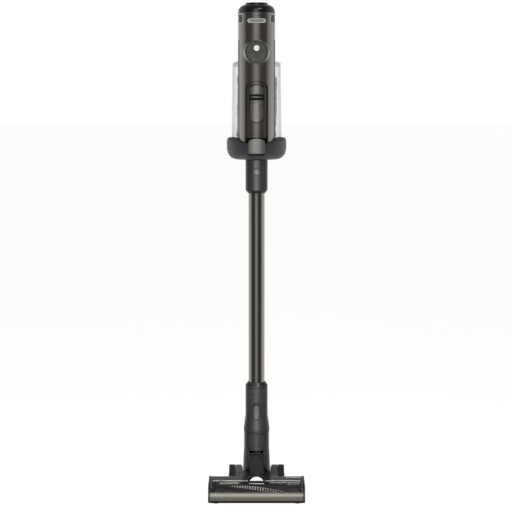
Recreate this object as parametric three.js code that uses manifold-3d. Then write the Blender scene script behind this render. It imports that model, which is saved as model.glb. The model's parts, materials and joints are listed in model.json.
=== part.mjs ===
// A cordless stick vacuum: floor head, swivel elbow, neck, wand and hand unit.
// Millimetres, +Z up, -Y is the front (the side of the window and the control disc).
// Every piece is first made about the wand's axis (x = 0, y = 0), and the whole is moved back at the
// end so that the origin is under the middle of its box, on the floor.
import * as THREE from "three";
import { mergeVertices } from "three/addons/utils/BufferGeometryUtils.js";
import Module from "manifold-3d";

const wasm = await Module();
wasm.setup();

// ---------------------------------------------------------------- driving dimensions
const gap = 0.3; // between pieces that touch or slide
const far = 200; // reaches past every piece, for cutting
const fine = 32; // sides of the large round pieces
const coarse = 16; // sides of the small round pieces

// Floor head
const headHalf = 110; // to the inner face of an end cap
const capThickness = 4;
const headFront = -89;
const headRear = -2;
const headFloor = 3; // underside of the chassis above the floor
const trayTop = 12.5;
const hoodTop = 45;
const hoodWall = 2.5;
const windowRear = -42;
const notchHalf = 42; // half width of the bay behind the brush chamber, for the swivel
const notchFront = -24;
const brush = { y: -52, z: 20, core: 9.2, bristle: 18, half: 98 };
const brushMotor = { y: -16, z: 24, radius: 11 };
const pulleyX = [-108, -104.4];
const bearing = { outer: 8, inner: 3.8, x: [99.2, 103.8] };
const rearWheel = { radius: 25, y: 70, x: [52.5, 67.5], axle: 3.2 };
const roller = { radius: 4, x: [91, 101], y: -81, pin: 1.3 };

// Swivel, neck and wand
const swivel = { z: 29, inner: 18, outer: 24.7, y: [-23.5, 14] };
const tilt = { z: 80, pin: 3.8, arm: 26 };
const tongueHalf = 17;
const neckTop = 275;
const neckSocket = 236; // the wand's lower end stands here
const wand = { radius: 19, wall: 1.6, bottom: 236.3, top: 760 };
const upperNeck = { bottom: 725, top: 802.7, radius: 26 };
const ductBore = 16;
const headButton = { half: 7, bottom: 188, top: 221 };
const wandButton = { radius: 6.8, z: 775 };

// Hand unit
const bodyRadius = 43;
const bodyWall = 2.2;
const spineBottom = 845.3;
const spineBack = 10;
const frontEdge = -15.8; // the front shell ends here, below the motor section
const motorFloor = 1034;
const shellSplit = 1078;
const capBottom = 1140.3;
const top = 1163;
const binAxis = 22; // the bin, the bag and the collar are round about this y
const binFloor = 846;
const binRadius = { bottom: 58.5, top: 56.5, wall: 2.2 };
const binHinge = { y: 84, z: 850, pin: 2.1, half: 14 };
const bagMouth = { y: 28, radius: 13 };
const collar = { radius: 70, bottom: 803, top: 854.5, rearTop: 843.5 };
const channel = { half: 26, top: 984, radius: 38.5 };
const disc = { z: 1050, radius: 25 };
const powerButton = { z: 1059, radius: 6.7 };
const lever = { half: 16.5, bottom: 889, top: 940.2 };
const catchPlate = { bottom: 954, top: 975 };
const latch = { half: 18.2, bottom: 818.3, top: 853, drop: 4.5 };
const vent = { x: 32, z: [1117.5, 1135] };
const handleHalf = 15;
const handleRear = 147;

// The middle of the box in y, between the bumper's front and the handle's back.
const middleY = (headFront + handleRear) / 2;

// ---------------------------------------------------------------- shapes
// A closed three.js geometry as a solid with its faces turned outwards.
function solid(geometry) {
  const bare = geometry.clone();
  bare.deleteAttribute("normal");
  bare.deleteAttribute("uv");
  const merged = mergeVertices(bare, 1e-4);
  const corners = new Uint32Array(merged.index.array);
  const points = merged.attributes.position.array;
  const made = new wasm.Manifold(
    new wasm.Mesh({ numProp: 3, vertProperties: points, triVerts: corners }),
  );
  if (made.volume() > 0) return made;
  for (let i = 0; i < corners.length; i += 3) {
    [corners[i + 1], corners[i + 2]] = [corners[i + 2], corners[i + 1]];
  }
  return new wasm.Manifold(
    new wasm.Mesh({ numProp: 3, vertProperties: points, triVerts: corners }),
  );
}

function block([x0, x1], [y0, y1], [z0, z1]) {
  const box = new THREE.BoxGeometry(x1 - x0, y1 - y0, z1 - z0);
  box.translate((x0 + x1) / 2, (y0 + y1) / 2, (z0 + z1) / 2);
  return solid(box);
}

// A round bar along an axis; across is its place on the other two axes, in x, y, z order.
function rod(axis, radius, [from, to], across, sides = fine, endRadius = radius) {
  const bar = new THREE.CylinderGeometry(endRadius, radius, to - from, sides);
  const middle = (from + to) / 2;
  if (axis === "x") {
    bar.rotateZ(-Math.PI / 2);
    bar.translate(middle, across[0], across[1]);
  } else if (axis === "y") {
    bar.translate(across[0], middle, across[1]);
  } else {
    bar.rotateX(Math.PI / 2);
    bar.translate(across[0], across[1], middle);
  }
  return solid(bar);
}

function tube(axis, outer, inner, [from, to], across, sides = fine) {
  const bore = rod(axis, inner, [from - 1, to + 1], across, sides);
  return rod(axis, outer, [from, to], across, sides).subtract(bore);
}

// A profile of [radius, z] pairs turned about a vertical axis at y.
function spun(profile, y = 0, sides = fine) {
  const points = profile.map(([r, z]) => new THREE.Vector2(r, z));
  const turned = new THREE.LatheGeometry(points, sides);
  turned.rotateX(Math.PI / 2);
  turned.translate(0, y, 0);
  return solid(turned);
}

function outlineOf(outline) {
  if (outline instanceof THREE.Shape) return outline;
  return new THREE.Shape(outline.map(([a, b]) => new THREE.Vector2(a, b)));
}

// An outline in the plane across an axis, run along that axis.
function prism(axis, outline, [from, to], curveSegments = 6) {
  const geometry = new THREE.ExtrudeGeometry(outlineOf(outline), {
    depth: to - from,
    bevelEnabled: false,
    curveSegments,
  });
  const basis = new THREE.Matrix4();
  const [x, y, z] = [new THREE.Vector3(1, 0, 0), new THREE.Vector3(0, 1, 0), new THREE.Vector3(0, 0, 1)];
  if (axis === "x") {
    basis.makeBasis(y, z, x).setPosition(from, 0, 0);
  } else if (axis === "y") {
    basis.makeBasis(x, z, y.clone().negate()).setPosition(0, to, 0);
  } else {
    basis.makeTranslation(0, 0, from);
  }
  geometry.applyMatrix4(basis);
  return solid(geometry);
}

// A straight-sided opening with a round top.
function archShape(half, bottom, topZ, rise = half) {
  const shape = new THREE.Shape();
  shape.moveTo(-half, bottom);
  shape.lineTo(half, bottom);
  shape.lineTo(half, topZ - rise);
  shape.absellipse(0, topZ - rise, half, rise, 0, Math.PI, false);
  return shape;
}

// The same, standing on its head: a round bottom.
function cupShape(half, bottom, topZ, drop = half) {
  const shape = new THREE.Shape();
  shape.moveTo(half, topZ);
  shape.lineTo(-half, topZ);
  shape.lineTo(-half, bottom + drop);
  shape.absellipse(0, bottom + drop, half, drop, Math.PI, 2 * Math.PI, false);
  return shape;
}

function pillShape(half, bottom, topZ) {
  const shape = new THREE.Shape();
  shape.absarc(0, topZ - half, half, 0, Math.PI, false);
  shape.absarc(0, bottom + half, half, Math.PI, 2 * Math.PI, false);
  return shape;
}

// Both copies of a cutting or joining solid: one at x, the other at -x.
function bothSides(make) {
  return [make(1), make(-1)];
}

function span(side, from, to) {
  return side > 0 ? [from, to] : [-to, -from];
}

function joined(first, ...others) {
  return others.reduce((sum, other) => sum.add(other), first);
}

function trimmed(first, ...cutters) {
  return cutters.reduce((rest, cutter) => rest.subtract(cutter), first);
}

const wide = [-far, far];
const tall = [-10, 2 * top];

function frontOf(y) {
  return block(wide, [-far, y], tall);
}

function behind(y) {
  return block(wide, [y, far], tall);
}

// ---------------------------------------------------------------- the floor head
function hoodOutline(inset) {
  const shape = new THREE.Shape();
  const front = headFront + 1 + inset;
  const roof = hoodTop - inset;
  const rear = headRear - inset;
  const low = inset > 0 ? headFloor : trayTop;
  shape.moveTo(front, low);
  shape.lineTo(front, trayTop + 1);
  shape.bezierCurveTo(front, 30, -72 + inset / 2, roof - 1.5, -46, roof - 1.5);
  shape.lineTo(-14, roof);
  shape.quadraticCurveTo(rear, roof, rear, roof - 9);
  shape.lineTo(rear, low);
  return shape;
}

function hoodShell() {
  const reach = [-headHalf + gap, headHalf - gap];
  const outer = prism("x", hoodOutline(0), reach);
  return outer.subtract(prism("x", hoodOutline(hoodWall), [-far, far]));
}

function brushWindow() {
  return hoodShell().intersect(frontOf(windowRear));
}

// The cover's middle is scooped out below the swivel arch, so that one can see through under it.
function headTopCover() {
  const scoopHalf = 18;
  const cheek = 2.5;
  const slope = [[-47, 44.2], [-22, 36.3]];
  const scoop = prism("x", [...slope, [-22, 60], [-47, 60]], [-scoopHalf, scoopHalf]);
  const under = prism("x", [[-44, 43.2], [-24.3, 37], [-24.3, 34.4], [-44, 40.6]],
    [-scoopHalf - cheek, scoopHalf + cheek]);
  const bay = block([-notchHalf, notchHalf], [notchFront, far], tall);
  const rearWall = block([-notchHalf, notchHalf], [notchFront - hoodWall, notchFront - gap], [32, hoodTop - 1.4]);
  const outer = prism("x", hoodOutline(0), [-far, far]);
  const sideWalls = bothSides((side) =>
    outer.intersect(block(span(side, notchHalf, notchHalf + hoodWall), [notchFront - hoodWall, far], tall)));
  const cover = hoodShell().intersect(behind(windowRear + gap)).subtract(bay);
  const floor = under.intersect(behind(windowRear + gap));
  return trimmed(joined(cover, rearWall.intersect(outer), floor, ...sideWalls), scoop);
}

function headChassis() {
  const half = headHalf - gap;
  const tray = block([-half, half], [headFront + 2.5, headRear - gap], [headFloor, headFloor + 3]);
  const rail = block([-half, half], [headFront + 2.5, -75], [headFloor, trayTop - 0.5]);
  const bay = block([-notchHalf, notchHalf], [notchFront - gap, far], tall);
  const mouth = block([-98.8, 98.8], [-73, -31], [-10, 12]);
  const wall = block([-98, 98], [-29.8, -27.8], [headFloor, 31]);
  const bearingX = [bearing.x[0] - 0.2, bearing.x[1] + 0.2];
  const cheeks = bothSides((side) => block(span(side, ...bearingX), [-66, -30], [headFloor, 34]));
  const holes = bothSides((side) =>
    rod("x", bearing.outer + gap, span(side, 90, 109), [brush.y, brush.z], coarse));
  const rollerBays = bothSides((side) =>
    block(span(side, roller.x[0] - 0.6, roller.x[1] + 0.6), [roller.y - 4.6, roller.y + 4.6], [-10, 9]));
  const pinSlots = bothSides((side) =>
    block(span(side, roller.x[0] - 2.6, roller.x[1] + 2.6), [roller.y - 1.7, roller.y + 1.7], [-10, 6]));
  const frame = joined(tray, rail, wall, ...cheeks);
  return trimmed(frame, bay, mouth, ...holes, ...rollerBays, ...pinSlots);
}

function frontBumper() {
  const outline = [[headFront, 4], [headFront, 11], [headFront + 1, 12.2], [headFront + 2.2, 12.2],
    [headFront + 2.2, headFloor], [headFront + 1, headFloor]];
  return prism("x", outline, [-headHalf + gap, headHalf - gap]);
}

function endCap(side) {
  const shape = new THREE.Shape();
  shape.moveTo(headFront + 3, 2.5);
  shape.lineTo(headRear - 2, 2.5);
  shape.lineTo(headRear + 1, 6);
  shape.lineTo(headRear + 1, 38);
  shape.quadraticCurveTo(headRear + 1, hoodTop + 1, -14, hoodTop + 1);
  shape.lineTo(-46, hoodTop - 0.5);
  shape.bezierCurveTo(-73, hoodTop - 0.5, headFront, 31, headFront, 13);
  shape.lineTo(headFront, 6);
  return prism("x", shape, span(side, headHalf, headHalf + capThickness));
}

function brushCore() {
  const place = [brush.y, brush.z];
  const drum = rod("x", brush.core, [-brush.half, brush.half], place, coarse);
  const shaft = rod("x", bearing.inner - gap, [pulleyX[0] - 0.5, 105.5], place, coarse);
  const pulley = rod("x", 9, pulleyX, place, coarse);
  return joined(drum, shaft, pulley);
}

// A sleeve with four bristle rows that wind half a turn along the roll.
function brushBristles() {
  const rows = 4;
  const sleeve = 10.8;
  const rowHalfAngle = 0.11;
  const shape = new THREE.Shape();
  for (let row = 0; row < rows; row += 1) {
    const middle = (row / rows) * 2 * Math.PI;
    const corners = [[sleeve, -0.6], [sleeve, -rowHalfAngle * 1.7], [brush.bristle, -rowHalfAngle],
      [brush.bristle, rowHalfAngle], [sleeve, rowHalfAngle * 1.7], [sleeve, 0.6]];
    corners.forEach(([r, a], i) => {
      const [x, y] = [r * Math.cos(middle + a), r * Math.sin(middle + a)];
      if (row === 0 && i === 0) shape.moveTo(x, y);
      else shape.lineTo(x, y);
    });
  }
  const length = 2 * brush.half - 2;
  const rolled = new THREE.ExtrudeGeometry(shape, {
    depth: length,
    steps: 9,
    bevelEnabled: false,
  });
  const at = rolled.attributes.position;
  for (let i = 0; i < at.count; i += 1) {
    const turn = (at.getZ(i) / length) * Math.PI;
    const [x, y] = [at.getX(i), at.getY(i)];
    const across = x * Math.cos(turn) - y * Math.sin(turn);
    const up = x * Math.sin(turn) + y * Math.cos(turn);
    at.setXYZ(i, at.getZ(i) - length / 2, brush.y + across, brush.z + up);
  }
  return solid(rolled).subtract(rod("x", brush.core + gap, wide, [brush.y, brush.z], coarse));
}

// The outline of a band round two circles of the y-z plane.
function bandShape(large, small, proud) {
  const along = Math.atan2(small.z - large.z, small.y - large.y);
  const distance = Math.hypot(small.z - large.z, small.y - large.y);
  const open = Math.acos((large.r - small.r) / distance);
  const shape = new THREE.Shape();
  shape.absarc(large.y, large.z, large.r + proud, along + open, along - open + 2 * Math.PI, false);
  shape.absarc(small.y, small.z, small.r + proud, along - open, along + open, false);
  return shape;
}

function driveBelt() {
  const large = { y: brush.y, z: brush.z, r: 9 };
  const small = { y: brushMotor.y, z: brushMotor.z, r: 5 };
  const reach = [pulleyX[0] + 0.4, pulleyX[1] - 0.4];
  const outer = prism("x", bandShape(large, small, 1.5), reach);
  return outer.subtract(prism("x", bandShape(large, small, 0.35), [-far, far]));
}

function motorPulley() {
  const place = [brushMotor.y, brushMotor.z];
  const wheel = rod("x", 5, pulleyX, place, coarse);
  return wheel.add(rod("x", 1.5, [pulleyX[1] - 1, -97.3], place, 10));
}

function brushBearing(side) {
  return tube("x", bearing.outer, bearing.inner, span(side, ...bearing.x), [brush.y, brush.z], coarse);
}

function swivelCradle() {
  const plate = block([-33.5, 33.5], [swivel.y[0] - gap, swivel.y[1]], [headFloor, 10.5]);
  const cheeks = bothSides((side) =>
    block(span(side, 22, 33.5), [swivel.y[0] - gap, swivel.y[1]], [headFloor, 36]));
  const track = rod("y", swivel.outer + gap, [-far, far], [0, swivel.z], fine);
  return trimmed(joined(plate, ...cheeks), track.intersect(block(wide, wide, [10.5, 80])));
}

function wheelBracket(side) {
  const outline = [[headRear + gap, 8], [58, 10], [66, 12], [82, 18], [84, 25], [82, 40], [74, 50],
    [64, 50], [54, 36], [headRear + gap, 34]];
  const beam = prism("x", outline, span(side, 34, 52));
  const chamfer = prism("y", [[34, 42], [44, 60], [20, 60], [20, 42]].map(([x, z]) => [side * x, z]), [-10, far]);
  const bore = rod("x", rearWheel.axle + gap, span(side, 30, 60), [rearWheel.y, rearWheel.radius], coarse);
  return trimmed(beam, chamfer, bore);
}

function rearAxle(side) {
  return rod("x", rearWheel.axle, span(side, 36, 69), [rearWheel.y, rearWheel.radius], coarse);
}

// A wheel's many-sided drum, turned so that one of its flats is on the floor.
function onFlat(wheel, width, sides) {
  const half = Math.PI / sides;
  const drum = new THREE.CylinderGeometry(1, 1, width[1] - width[0], sides);
  drum.scale(wheel.radius / Math.cos(half), 1, wheel.radius / Math.cos(half));
  drum.rotateY(half);
  drum.rotateZ(-Math.PI / 2);
  drum.translate((width[0] + width[1]) / 2, wheel.y, wheel.radius);
  return solid(drum);
}

function rearWheelTyre(side) {
  const place = [rearWheel.y, rearWheel.radius];
  const dish = bothSides((end) =>
    rod("x", 16, end > 0 ? span(side, 64.5, 80) : span(side, 40, 54.5), place, coarse));
  const bore = rod("x", rearWheel.axle + gap, span(side, 40, 80), place, coarse);
  const tyre = onFlat(rearWheel, span(side, ...rearWheel.x), fine).subtract(bore);
  return trimmed(tyre, ...dish);
}

function frontRoller(side) {
  const place = [roller.y, roller.radius];
  const drum = onFlat(roller, span(side, ...roller.x), coarse);
  return drum.add(rod("x", roller.pin, span(side, roller.x[0] - 2, roller.x[1] + 2), place, 10));
}

// ---------------------------------------------------------------- elbow and neck
function swivelArch() {
  const ring = tube("y", swivel.outer, swivel.inner, swivel.y, [0, swivel.z]);
  const half = ring.intersect(block(wide, wide, [swivel.z, far]));
  const tongue = prism("y", archShape(tongueHalf, 46, 106, 12), [-15, swivel.y[1]]);
  const tunnel = rod("y", swivel.inner, [-far, far], [0, swivel.z]);
  const duct = rod("z", 9, [58, far], [0, 0], coarse);
  const pinHole = rod("x", tilt.pin + gap, wide, [0, tilt.z], coarse);
  return trimmed(joined(half, tongue), tunnel, duct, pinHole);
}

function tiltPin(side) {
  return rod("x", tilt.pin, span(side, 11, 31.5), [0, tilt.z], coarse);
}

function neckBody() {
  const round = spun([[0, 52], [32.5, 52], [32.5, 62], [31.5, 90], [30, 118], [30, 152], [30.8, 157], [30.8, 163],
    [26.8, 192], [26.5, 204], [26.5, 267], [20.5, neckTop], [0, neckTop]], 0, 24);
  const side = new THREE.Shape();
  side.moveTo(-34, neckTop + 1);
  side.lineTo(-34, 130);
  side.lineTo(-tilt.arm, 96);
  side.absarc(0, tilt.z, tilt.arm, Math.PI, 2 * Math.PI, false);
  side.lineTo(tilt.arm, 96);
  side.lineTo(34, 130);
  side.lineTo(34, neckTop + 1);
  return round.intersect(prism("x", side, wide, 8));
}

const panelHalf = 22;
const panelDepth = 24;

function neckFork() {
  const slot = block([-tongueHalf - 0.6, tongueHalf + 0.6], wide, [40, 112]);
  const socket = rod("z", wand.radius + gap, [neckSocket, 300], [0, 0]);
  const bore = rod("z", ductBore, [100, 300], [0, 0]);
  const panelBay = prism("y", cupShape(panelHalf + gap, 117, 262, 14), [-60, -10])
    .subtract(rod("z", panelDepth - gap, tall, [0, 0]));
  const buttonBay = prism("y", pillShape(headButton.half + 0.5, headButton.bottom - 0.5, 227), [-60, -18]);
  const pinHoles = rod("x", tilt.pin + gap, wide, [0, tilt.z], coarse);
  return trimmed(neckBody(), slot, socket, bore, panelBay, buttonBay, pinHoles);
}

function neckFrontPanel() {
  const panel = neckBody().intersect(prism("y", cupShape(panelHalf, 117.3, 261.7, 14), [-60, -10]));
  const buttonHole = prism("y", pillShape(headButton.half + 0.8, headButton.bottom - 0.8, 227.3), [-60, 0]);
  return trimmed(panel, rod("z", panelDepth, tall, [0, 0]), buttonHole);
}

function neckDuct() {
  return tube("z", ductBore - gap, 13.7, [113, neckSocket - 2], [0, 0], coarse);
}

function headReleaseButton() {
  return prism("y", pillShape(headButton.half, headButton.bottom, headButton.top), [-28.6, -21]);
}

function wandTube() {
  return tube("z", wand.radius, wand.radius - wand.wall, [wand.bottom, wand.top], [0, 0], 32);
}

// ---------------------------------------------------------------- lower hand unit
function inletNeck() {
  const r = upperNeck.radius;
  const profile = [[0, upperNeck.bottom], [20.5, upperNeck.bottom], [r, upperNeck.bottom + 7],
    [r, upperNeck.top], [0, upperNeck.top]];
  const socket = rod("z", wand.radius + gap, [700, wand.top + gap], [0, 0]);
  const bore = rod("z", ductBore, [700, 900], [0, 0]);
  const buttonBay = rod("y", wandButton.radius + 0.4, [-60, -18.3], [0, wandButton.z], coarse);
  return trimmed(spun(profile), socket, bore, buttonBay);
}

function wandReleaseButton() {
  return rod("y", wandButton.radius, [-28, -21.2], [0, wandButton.z], coarse);
}

function binCollar() {
  const { radius, bottom, top: rim, rearTop } = collar;
  const bowl = spun([[0, bottom], [50, bottom + 0.3], [60, bottom + 4], [67, bottom + 13], [radius, bottom + 25],
    [radius, rim - 8], [68.5, rim - 2.5], [65, rim], [0, rim]], binAxis);
  const frontDip = prism("x", [[8, rim + 0.5], [-60, 838], [-60, 900], [8, 900]], wide);
  const rearCut = block(wide, [55, far], [rearTop, 900]);
  const spineBay = rod("z", bodyRadius + 0.5, [845, 900], [0, 0]).intersect(frontOf(spineBack + gap));
  const binBay = rod("z", binRadius.bottom + 0.9, [binFloor - 0.4, 900], [0, binAxis])
    .intersect(behind(spineBack));
  const plateBay = rod("z", 52.4, [841.7, 900], [0, binAxis]).intersect(block(wide, wide, [841.7, 846]));
  const cavity = rod("z", 50, [bottom + 5, 842], [0, binAxis]);
  const mouth = rod("z", ductBore + 2.5, [bottom - 5, bottom + 10], [0, 2]);
  const latchBay = block([-latch.half - 0.5, latch.half + 0.5], [-far, -43.9], [latch.bottom - latch.drop - 0.8, 900]);
  const lugs = bothSides((side) => {
    const width = span(side, binHinge.half + 0.4, 20);
    const foot = block(width, [binHinge.y - 4.5, binHinge.y + 4.5], [rearTop - 3, binHinge.z]);
    return foot.add(rod("x", 4.5, width, [binHinge.y, binHinge.z], coarse));
  });
  const pinHole = rod("x", binHinge.pin + gap, wide, [binHinge.y, binHinge.z], 14);
  const body = trimmed(bowl, frontDip, rearCut, spineBay, binBay, plateBay, cavity, mouth, latchBay);
  return joined(body, ...lugs).subtract(pinHole);
}

function collarLatch() {
  const front = rod("z", 71, tall, [0, binAxis]);
  const plate = prism("y", archShape(latch.half, latch.bottom, latch.top, 8), [-60, -44.3]);
  return plate.intersect(front);
}

function binFloorPlate() {
  const hole = rod("z", bagMouth.radius, tall, [0, bagMouth.y], coarse);
  return rod("z", 52, [842, 845], [0, binAxis]).subtract(hole);
}

// The air pipe from the inlet neck back and up into the bag.
function inletDuct() {
  const section = new THREE.Shape();
  section.absarc(0, 0, 14.5, 0, 2 * Math.PI, false);
  const hole = new THREE.Path();
  hole.absarc(0, 0, bagMouth.radius - 0.5, 0, 2 * Math.PI, true);
  section.holes.push(hole);
  const path = new THREE.CubicBezierCurve3(
    new THREE.Vector3(0, 0, 804),
    new THREE.Vector3(0, 0, 824),
    new THREE.Vector3(0, bagMouth.y, 822),
    new THREE.Vector3(0, bagMouth.y, 841.7),
  );
  const pipe = new THREE.ExtrudeGeometry(section, { extrudePath: path, steps: 8, curveSegments: 6 });
  return solid(pipe);
}

function bagPlate() {
  const hole = rod("z", bagMouth.radius, tall, [0, bagMouth.y], coarse);
  return block([-38, 38], [13.5, 55], [845.4, 848.4]).subtract(hole);
}

function dustBag() {
  const profile = [[0, 849], [44, 849], [49, 856], [50, 900], [49, 985], [44, 998], [30, 1003], [0, 1003]];
  return spun(profile, binAxis).intersect(behind(13.5));
}

// ---------------------------------------------------------------- the dust-bag cover
// Its roof is round about the hinge, so that it swings out from under the motor.
function binVolume(inset, roofRadius) {
  const cone = rod("z", binRadius.bottom - inset, [binFloor - inset, 1040], [0, binAxis], fine, binRadius.top - inset);
  const side = new THREE.Shape();
  const front = spineBack + 1.2 - 5 * inset;
  side.moveTo(front, binFloor - inset);
  side.lineTo(90, binFloor - inset);
  side.absarc(binHinge.y, binHinge.z, roofRadius, Math.PI / 2, Math.PI - Math.acos((binHinge.y - front) / roofRadius), false);
  return cone.intersect(prism("x", side, wide, 12));
}

function binCover() {
  const roof = 185;
  const shell = binVolume(0, roof).subtract(binVolume(binRadius.wall, roof - binRadius.wall));
  const port = rod("z", 15, [1000, 1060], [0, 30], coarse);
  const lug = block([-binHinge.half, binHinge.half], [79, binHinge.y + 4], [binFloor - 0.4, binHinge.z + 4]);
  const knuckle = lug.subtract(rod("z", binRadius.bottom - binRadius.wall, [840, 860], [0, binAxis]));
  const pinHole = rod("x", binHinge.pin + gap, wide, [binHinge.y, binHinge.z], 14);
  return trimmed(joined(shell, knuckle), port, pinHole);
}

function binHingePin() {
  return rod("x", binHinge.pin, [-20, 20], [binHinge.y, binHinge.z], 14);
}

// ---------------------------------------------------------------- spine and motor housing
function ventWindows() {
  return bothSides((side) => block(span(side, vent.x, 60), wide, vent.z));
}

function frontShell() {
  const skin = tube("z", bodyRadius, bodyRadius - bodyWall, [spineBottom, 1140], [0, 0]);
  const upper = skin.intersect(block(wide, [-far, -0.15], [shellSplit, far * 10]));
  const lower = skin.intersect(block(wide, [-far, frontEdge], [0, shellSplit + 1]));
  const opening = prism("y", archShape(channel.half, 800, channel.top, 16), [-60, -10]);
  const boss = rod("y", 26.6, [-44.6, -34], [0, disc.z], fine, 31).subtract(rod("z", bodyRadius - bodyWall, tall, [0, 0]));
  const discHole = rod("y", disc.radius + 0.4, [-60, -20], [0, disc.z]);
  return trimmed(joined(upper, lower, boss), opening, discHole, ...ventWindows());
}

function backShell() {
  const front = frontEdge + gap;
  const low = rod("z", bodyRadius, [spineBottom, 1040], [0, 0]).intersect(block(wide, [front, spineBack], tall));
  const high = rod("z", bodyRadius, [motorFloor, shellSplit - gap], [0, 0]).intersect(behind(front));
  const inner = bodyRadius - bodyWall;
  const lowRoom = rod("z", inner, [800, 1037], [0, 0]).intersect(frontOf(spineBack - bodyWall));
  const highRoom = rod("z", inner, [motorFloor + 2.5, 1200], [0, 0]);
  const port = rod("z", 15, [1000, 1060], [0, 24], coarse);
  return trimmed(joined(low, high), lowRoom, highRoom, port);
}

function motorRearShell() {
  const skin = tube("z", bodyRadius, bodyRadius - bodyWall, [shellSplit, 1140], [0, 0]);
  return trimmed(skin.intersect(behind(0.15)), ...ventWindows());
}

function sideVent(side) {
  const low = vent.z[0] + gap;
  const high = vent.z[1] - gap;
  const skin = tube("z", bodyRadius - 0.2, 39.5, [low, high], [0, 0]);
  const plate = skin.intersect(block(span(side, vent.x + gap, 60), wide, tall));
  const slots = [0, 1, 2].map((row) =>
    block(span(side, 30, 60), [-20, 20], [low + 3 + 4.2 * row, low + 5 + 4.2 * row]));
  return trimmed(plate, ...slots);
}

function nameplate() {
  const skin = tube("z", bodyRadius + 1, bodyRadius + 0.2, [1116, 1125.5], [0, 0]);
  return skin.intersect(block([-20.5, 20.5], [-far, 0], tall));
}

function controlDisc() {
  const plate = rod("y", disc.radius, [-45.2, -38], [0, disc.z]);
  return plate.subtract(rod("y", powerButton.radius + 0.4, [-60, -20], [0, powerButton.z], coarse));
}

function powerButtonCap() {
  return rod("y", powerButton.radius, [-46.6, -39], [0, powerButton.z], coarse);
}

function circuitBoard() {
  return block([-20, 20], [-33.4, -31.8], [1002, 1074]);
}

function impeller() {
  const blades = 9;
  const hub = rod("z", 10, [1051, 1062], [0, 0], coarse).add(rod("z", 2.5, [1061, 1065.4], [0, 0], 10));
  const back = rod("z", 26, [1051, 1053], [0, 0]);
  const vanes = Array.from({ length: blades }, (_, i) => {
    const vane = new THREE.BoxGeometry(16, 1.6, 8);
    vane.translate(17.5, 0, 1056.5);
    vane.rotateZ((i / blades) * 2 * Math.PI);
    return solid(vane);
  });
  return joined(hub, back, ...vanes);
}

function exhaustFilter() {
  return tube("z", 37.5, 20, [1109, 1138], [0, 0]);
}

function filterCap() {
  return spun([[0, 1145], [38.5, 1145], [38.5, capBottom], [bodyRadius, capBottom], [42, 1147.5], [38, 1154],
    [31.5, 1158], [26.2, 1158.6], [25.8, top], [0, top]]);
}

// ---------------------------------------------------------------- handle
function handleOutline() {
  const shape = new THREE.Shape();
  shape.moveTo(20, 1048);
  shape.lineTo(112, 1044);
  shape.quadraticCurveTo(136, 1046, 141, 1066);
  shape.quadraticCurveTo(handleRear + 6, 1098, 141, 1130);
  shape.quadraticCurveTo(136, 1150, 114, 1152);
  shape.lineTo(20, 1137);
  return shape;
}

function gripOpening() {
  const shape = new THREE.Shape();
  shape.moveTo(52, 1066);
  shape.lineTo(104, 1063);
  shape.quadraticCurveTo(112, 1064, 114, 1074);
  shape.quadraticCurveTo(120, 1098, 114, 1122);
  shape.quadraticCurveTo(111, 1131, 102, 1130);
  shape.lineTo(52, 1121);
  return shape;
}

const gripCut = 132;

function handleLoop(half) {
  const loop = prism("x", handleOutline(), [-half, half]).subtract(prism("x", gripOpening(), wide));
  const limit = block(wide, [-far, handleRear], tall);
  return loop.intersect(limit).subtract(rod("z", bodyRadius + gap, tall, [0, 0]));
}

function handleFrame() {
  return handleLoop(handleHalf).subtract(block(wide, [gripCut, far], [1064, 1134]));
}

function gripInsert() {
  return handleLoop(handleHalf - 0.5).intersect(block(wide, [gripCut + gap, far], [1064 + gap, 1134 - gap]));
}

// ---------------------------------------------------------------- battery
const batteryHalf = channel.half - 0.4;
const pocketRadius = 34;

function batteryCase() {
  const back = 7.2;
  const outer = prism("y", archShape(batteryHalf, 856.3, channel.top - 0.4, 16), [-60, back])
    .intersect(rod("z", channel.radius, tall, [0, 0]));
  const room = prism("y", archShape(batteryHalf - 2.4, 858.7, channel.top - 3, 14), [-60, 60])
    .intersect(rod("z", 31.8, tall, [0, 0]));
  const pocket = joined(
    prism("y", cupShape(lever.half + gap, lever.bottom - gap, catchPlate.bottom), [-60, -10]),
    prism("y", archShape(lever.half + gap, catchPlate.bottom - 1, catchPlate.top + gap, 6), [-60, -10]),
  ).subtract(rod("z", pocketRadius, tall, [0, 0]));
  return trimmed(outer, room, pocket);
}

// Two layers of three cells, welded to their nickel strips.
function batteryCells() {
  const radius = 9.2;
  const places = [[-9.6, -19], [9.6, -19], [0, -2.6]];
  const layers = [[860.5, 915.5], [916.5, 971.5]];
  const cells = layers.flatMap((layer) => places.map((place) => rod("z", radius, layer, place, 14)));
  const strips = [[-4, 4], [4, -4]].map(([x]) =>
    block([x - 2, x + 2], [-19, -3], [914.5, 917.5]));
  const bridge = block([-12, 12], [-20, -16], [914.5, 917.5]);
  return joined(...cells, ...strips, bridge);
}

function batteryReleaseButton() {
  const plate = prism("y", archShape(lever.half, catchPlate.bottom + gap, catchPlate.top, 6), [-60, -10]);
  return plate.intersect(tube("z", 38.9, 36.6, [900, 1000], [0, 0]));
}

function batteryPullLever() {
  const plate = prism("y", cupShape(lever.half, lever.bottom, lever.top), [-60, -10]);
  return plate.intersect(tube("z", channel.radius, pocketRadius + gap, [880, 960], [0, 0]));
}

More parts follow.
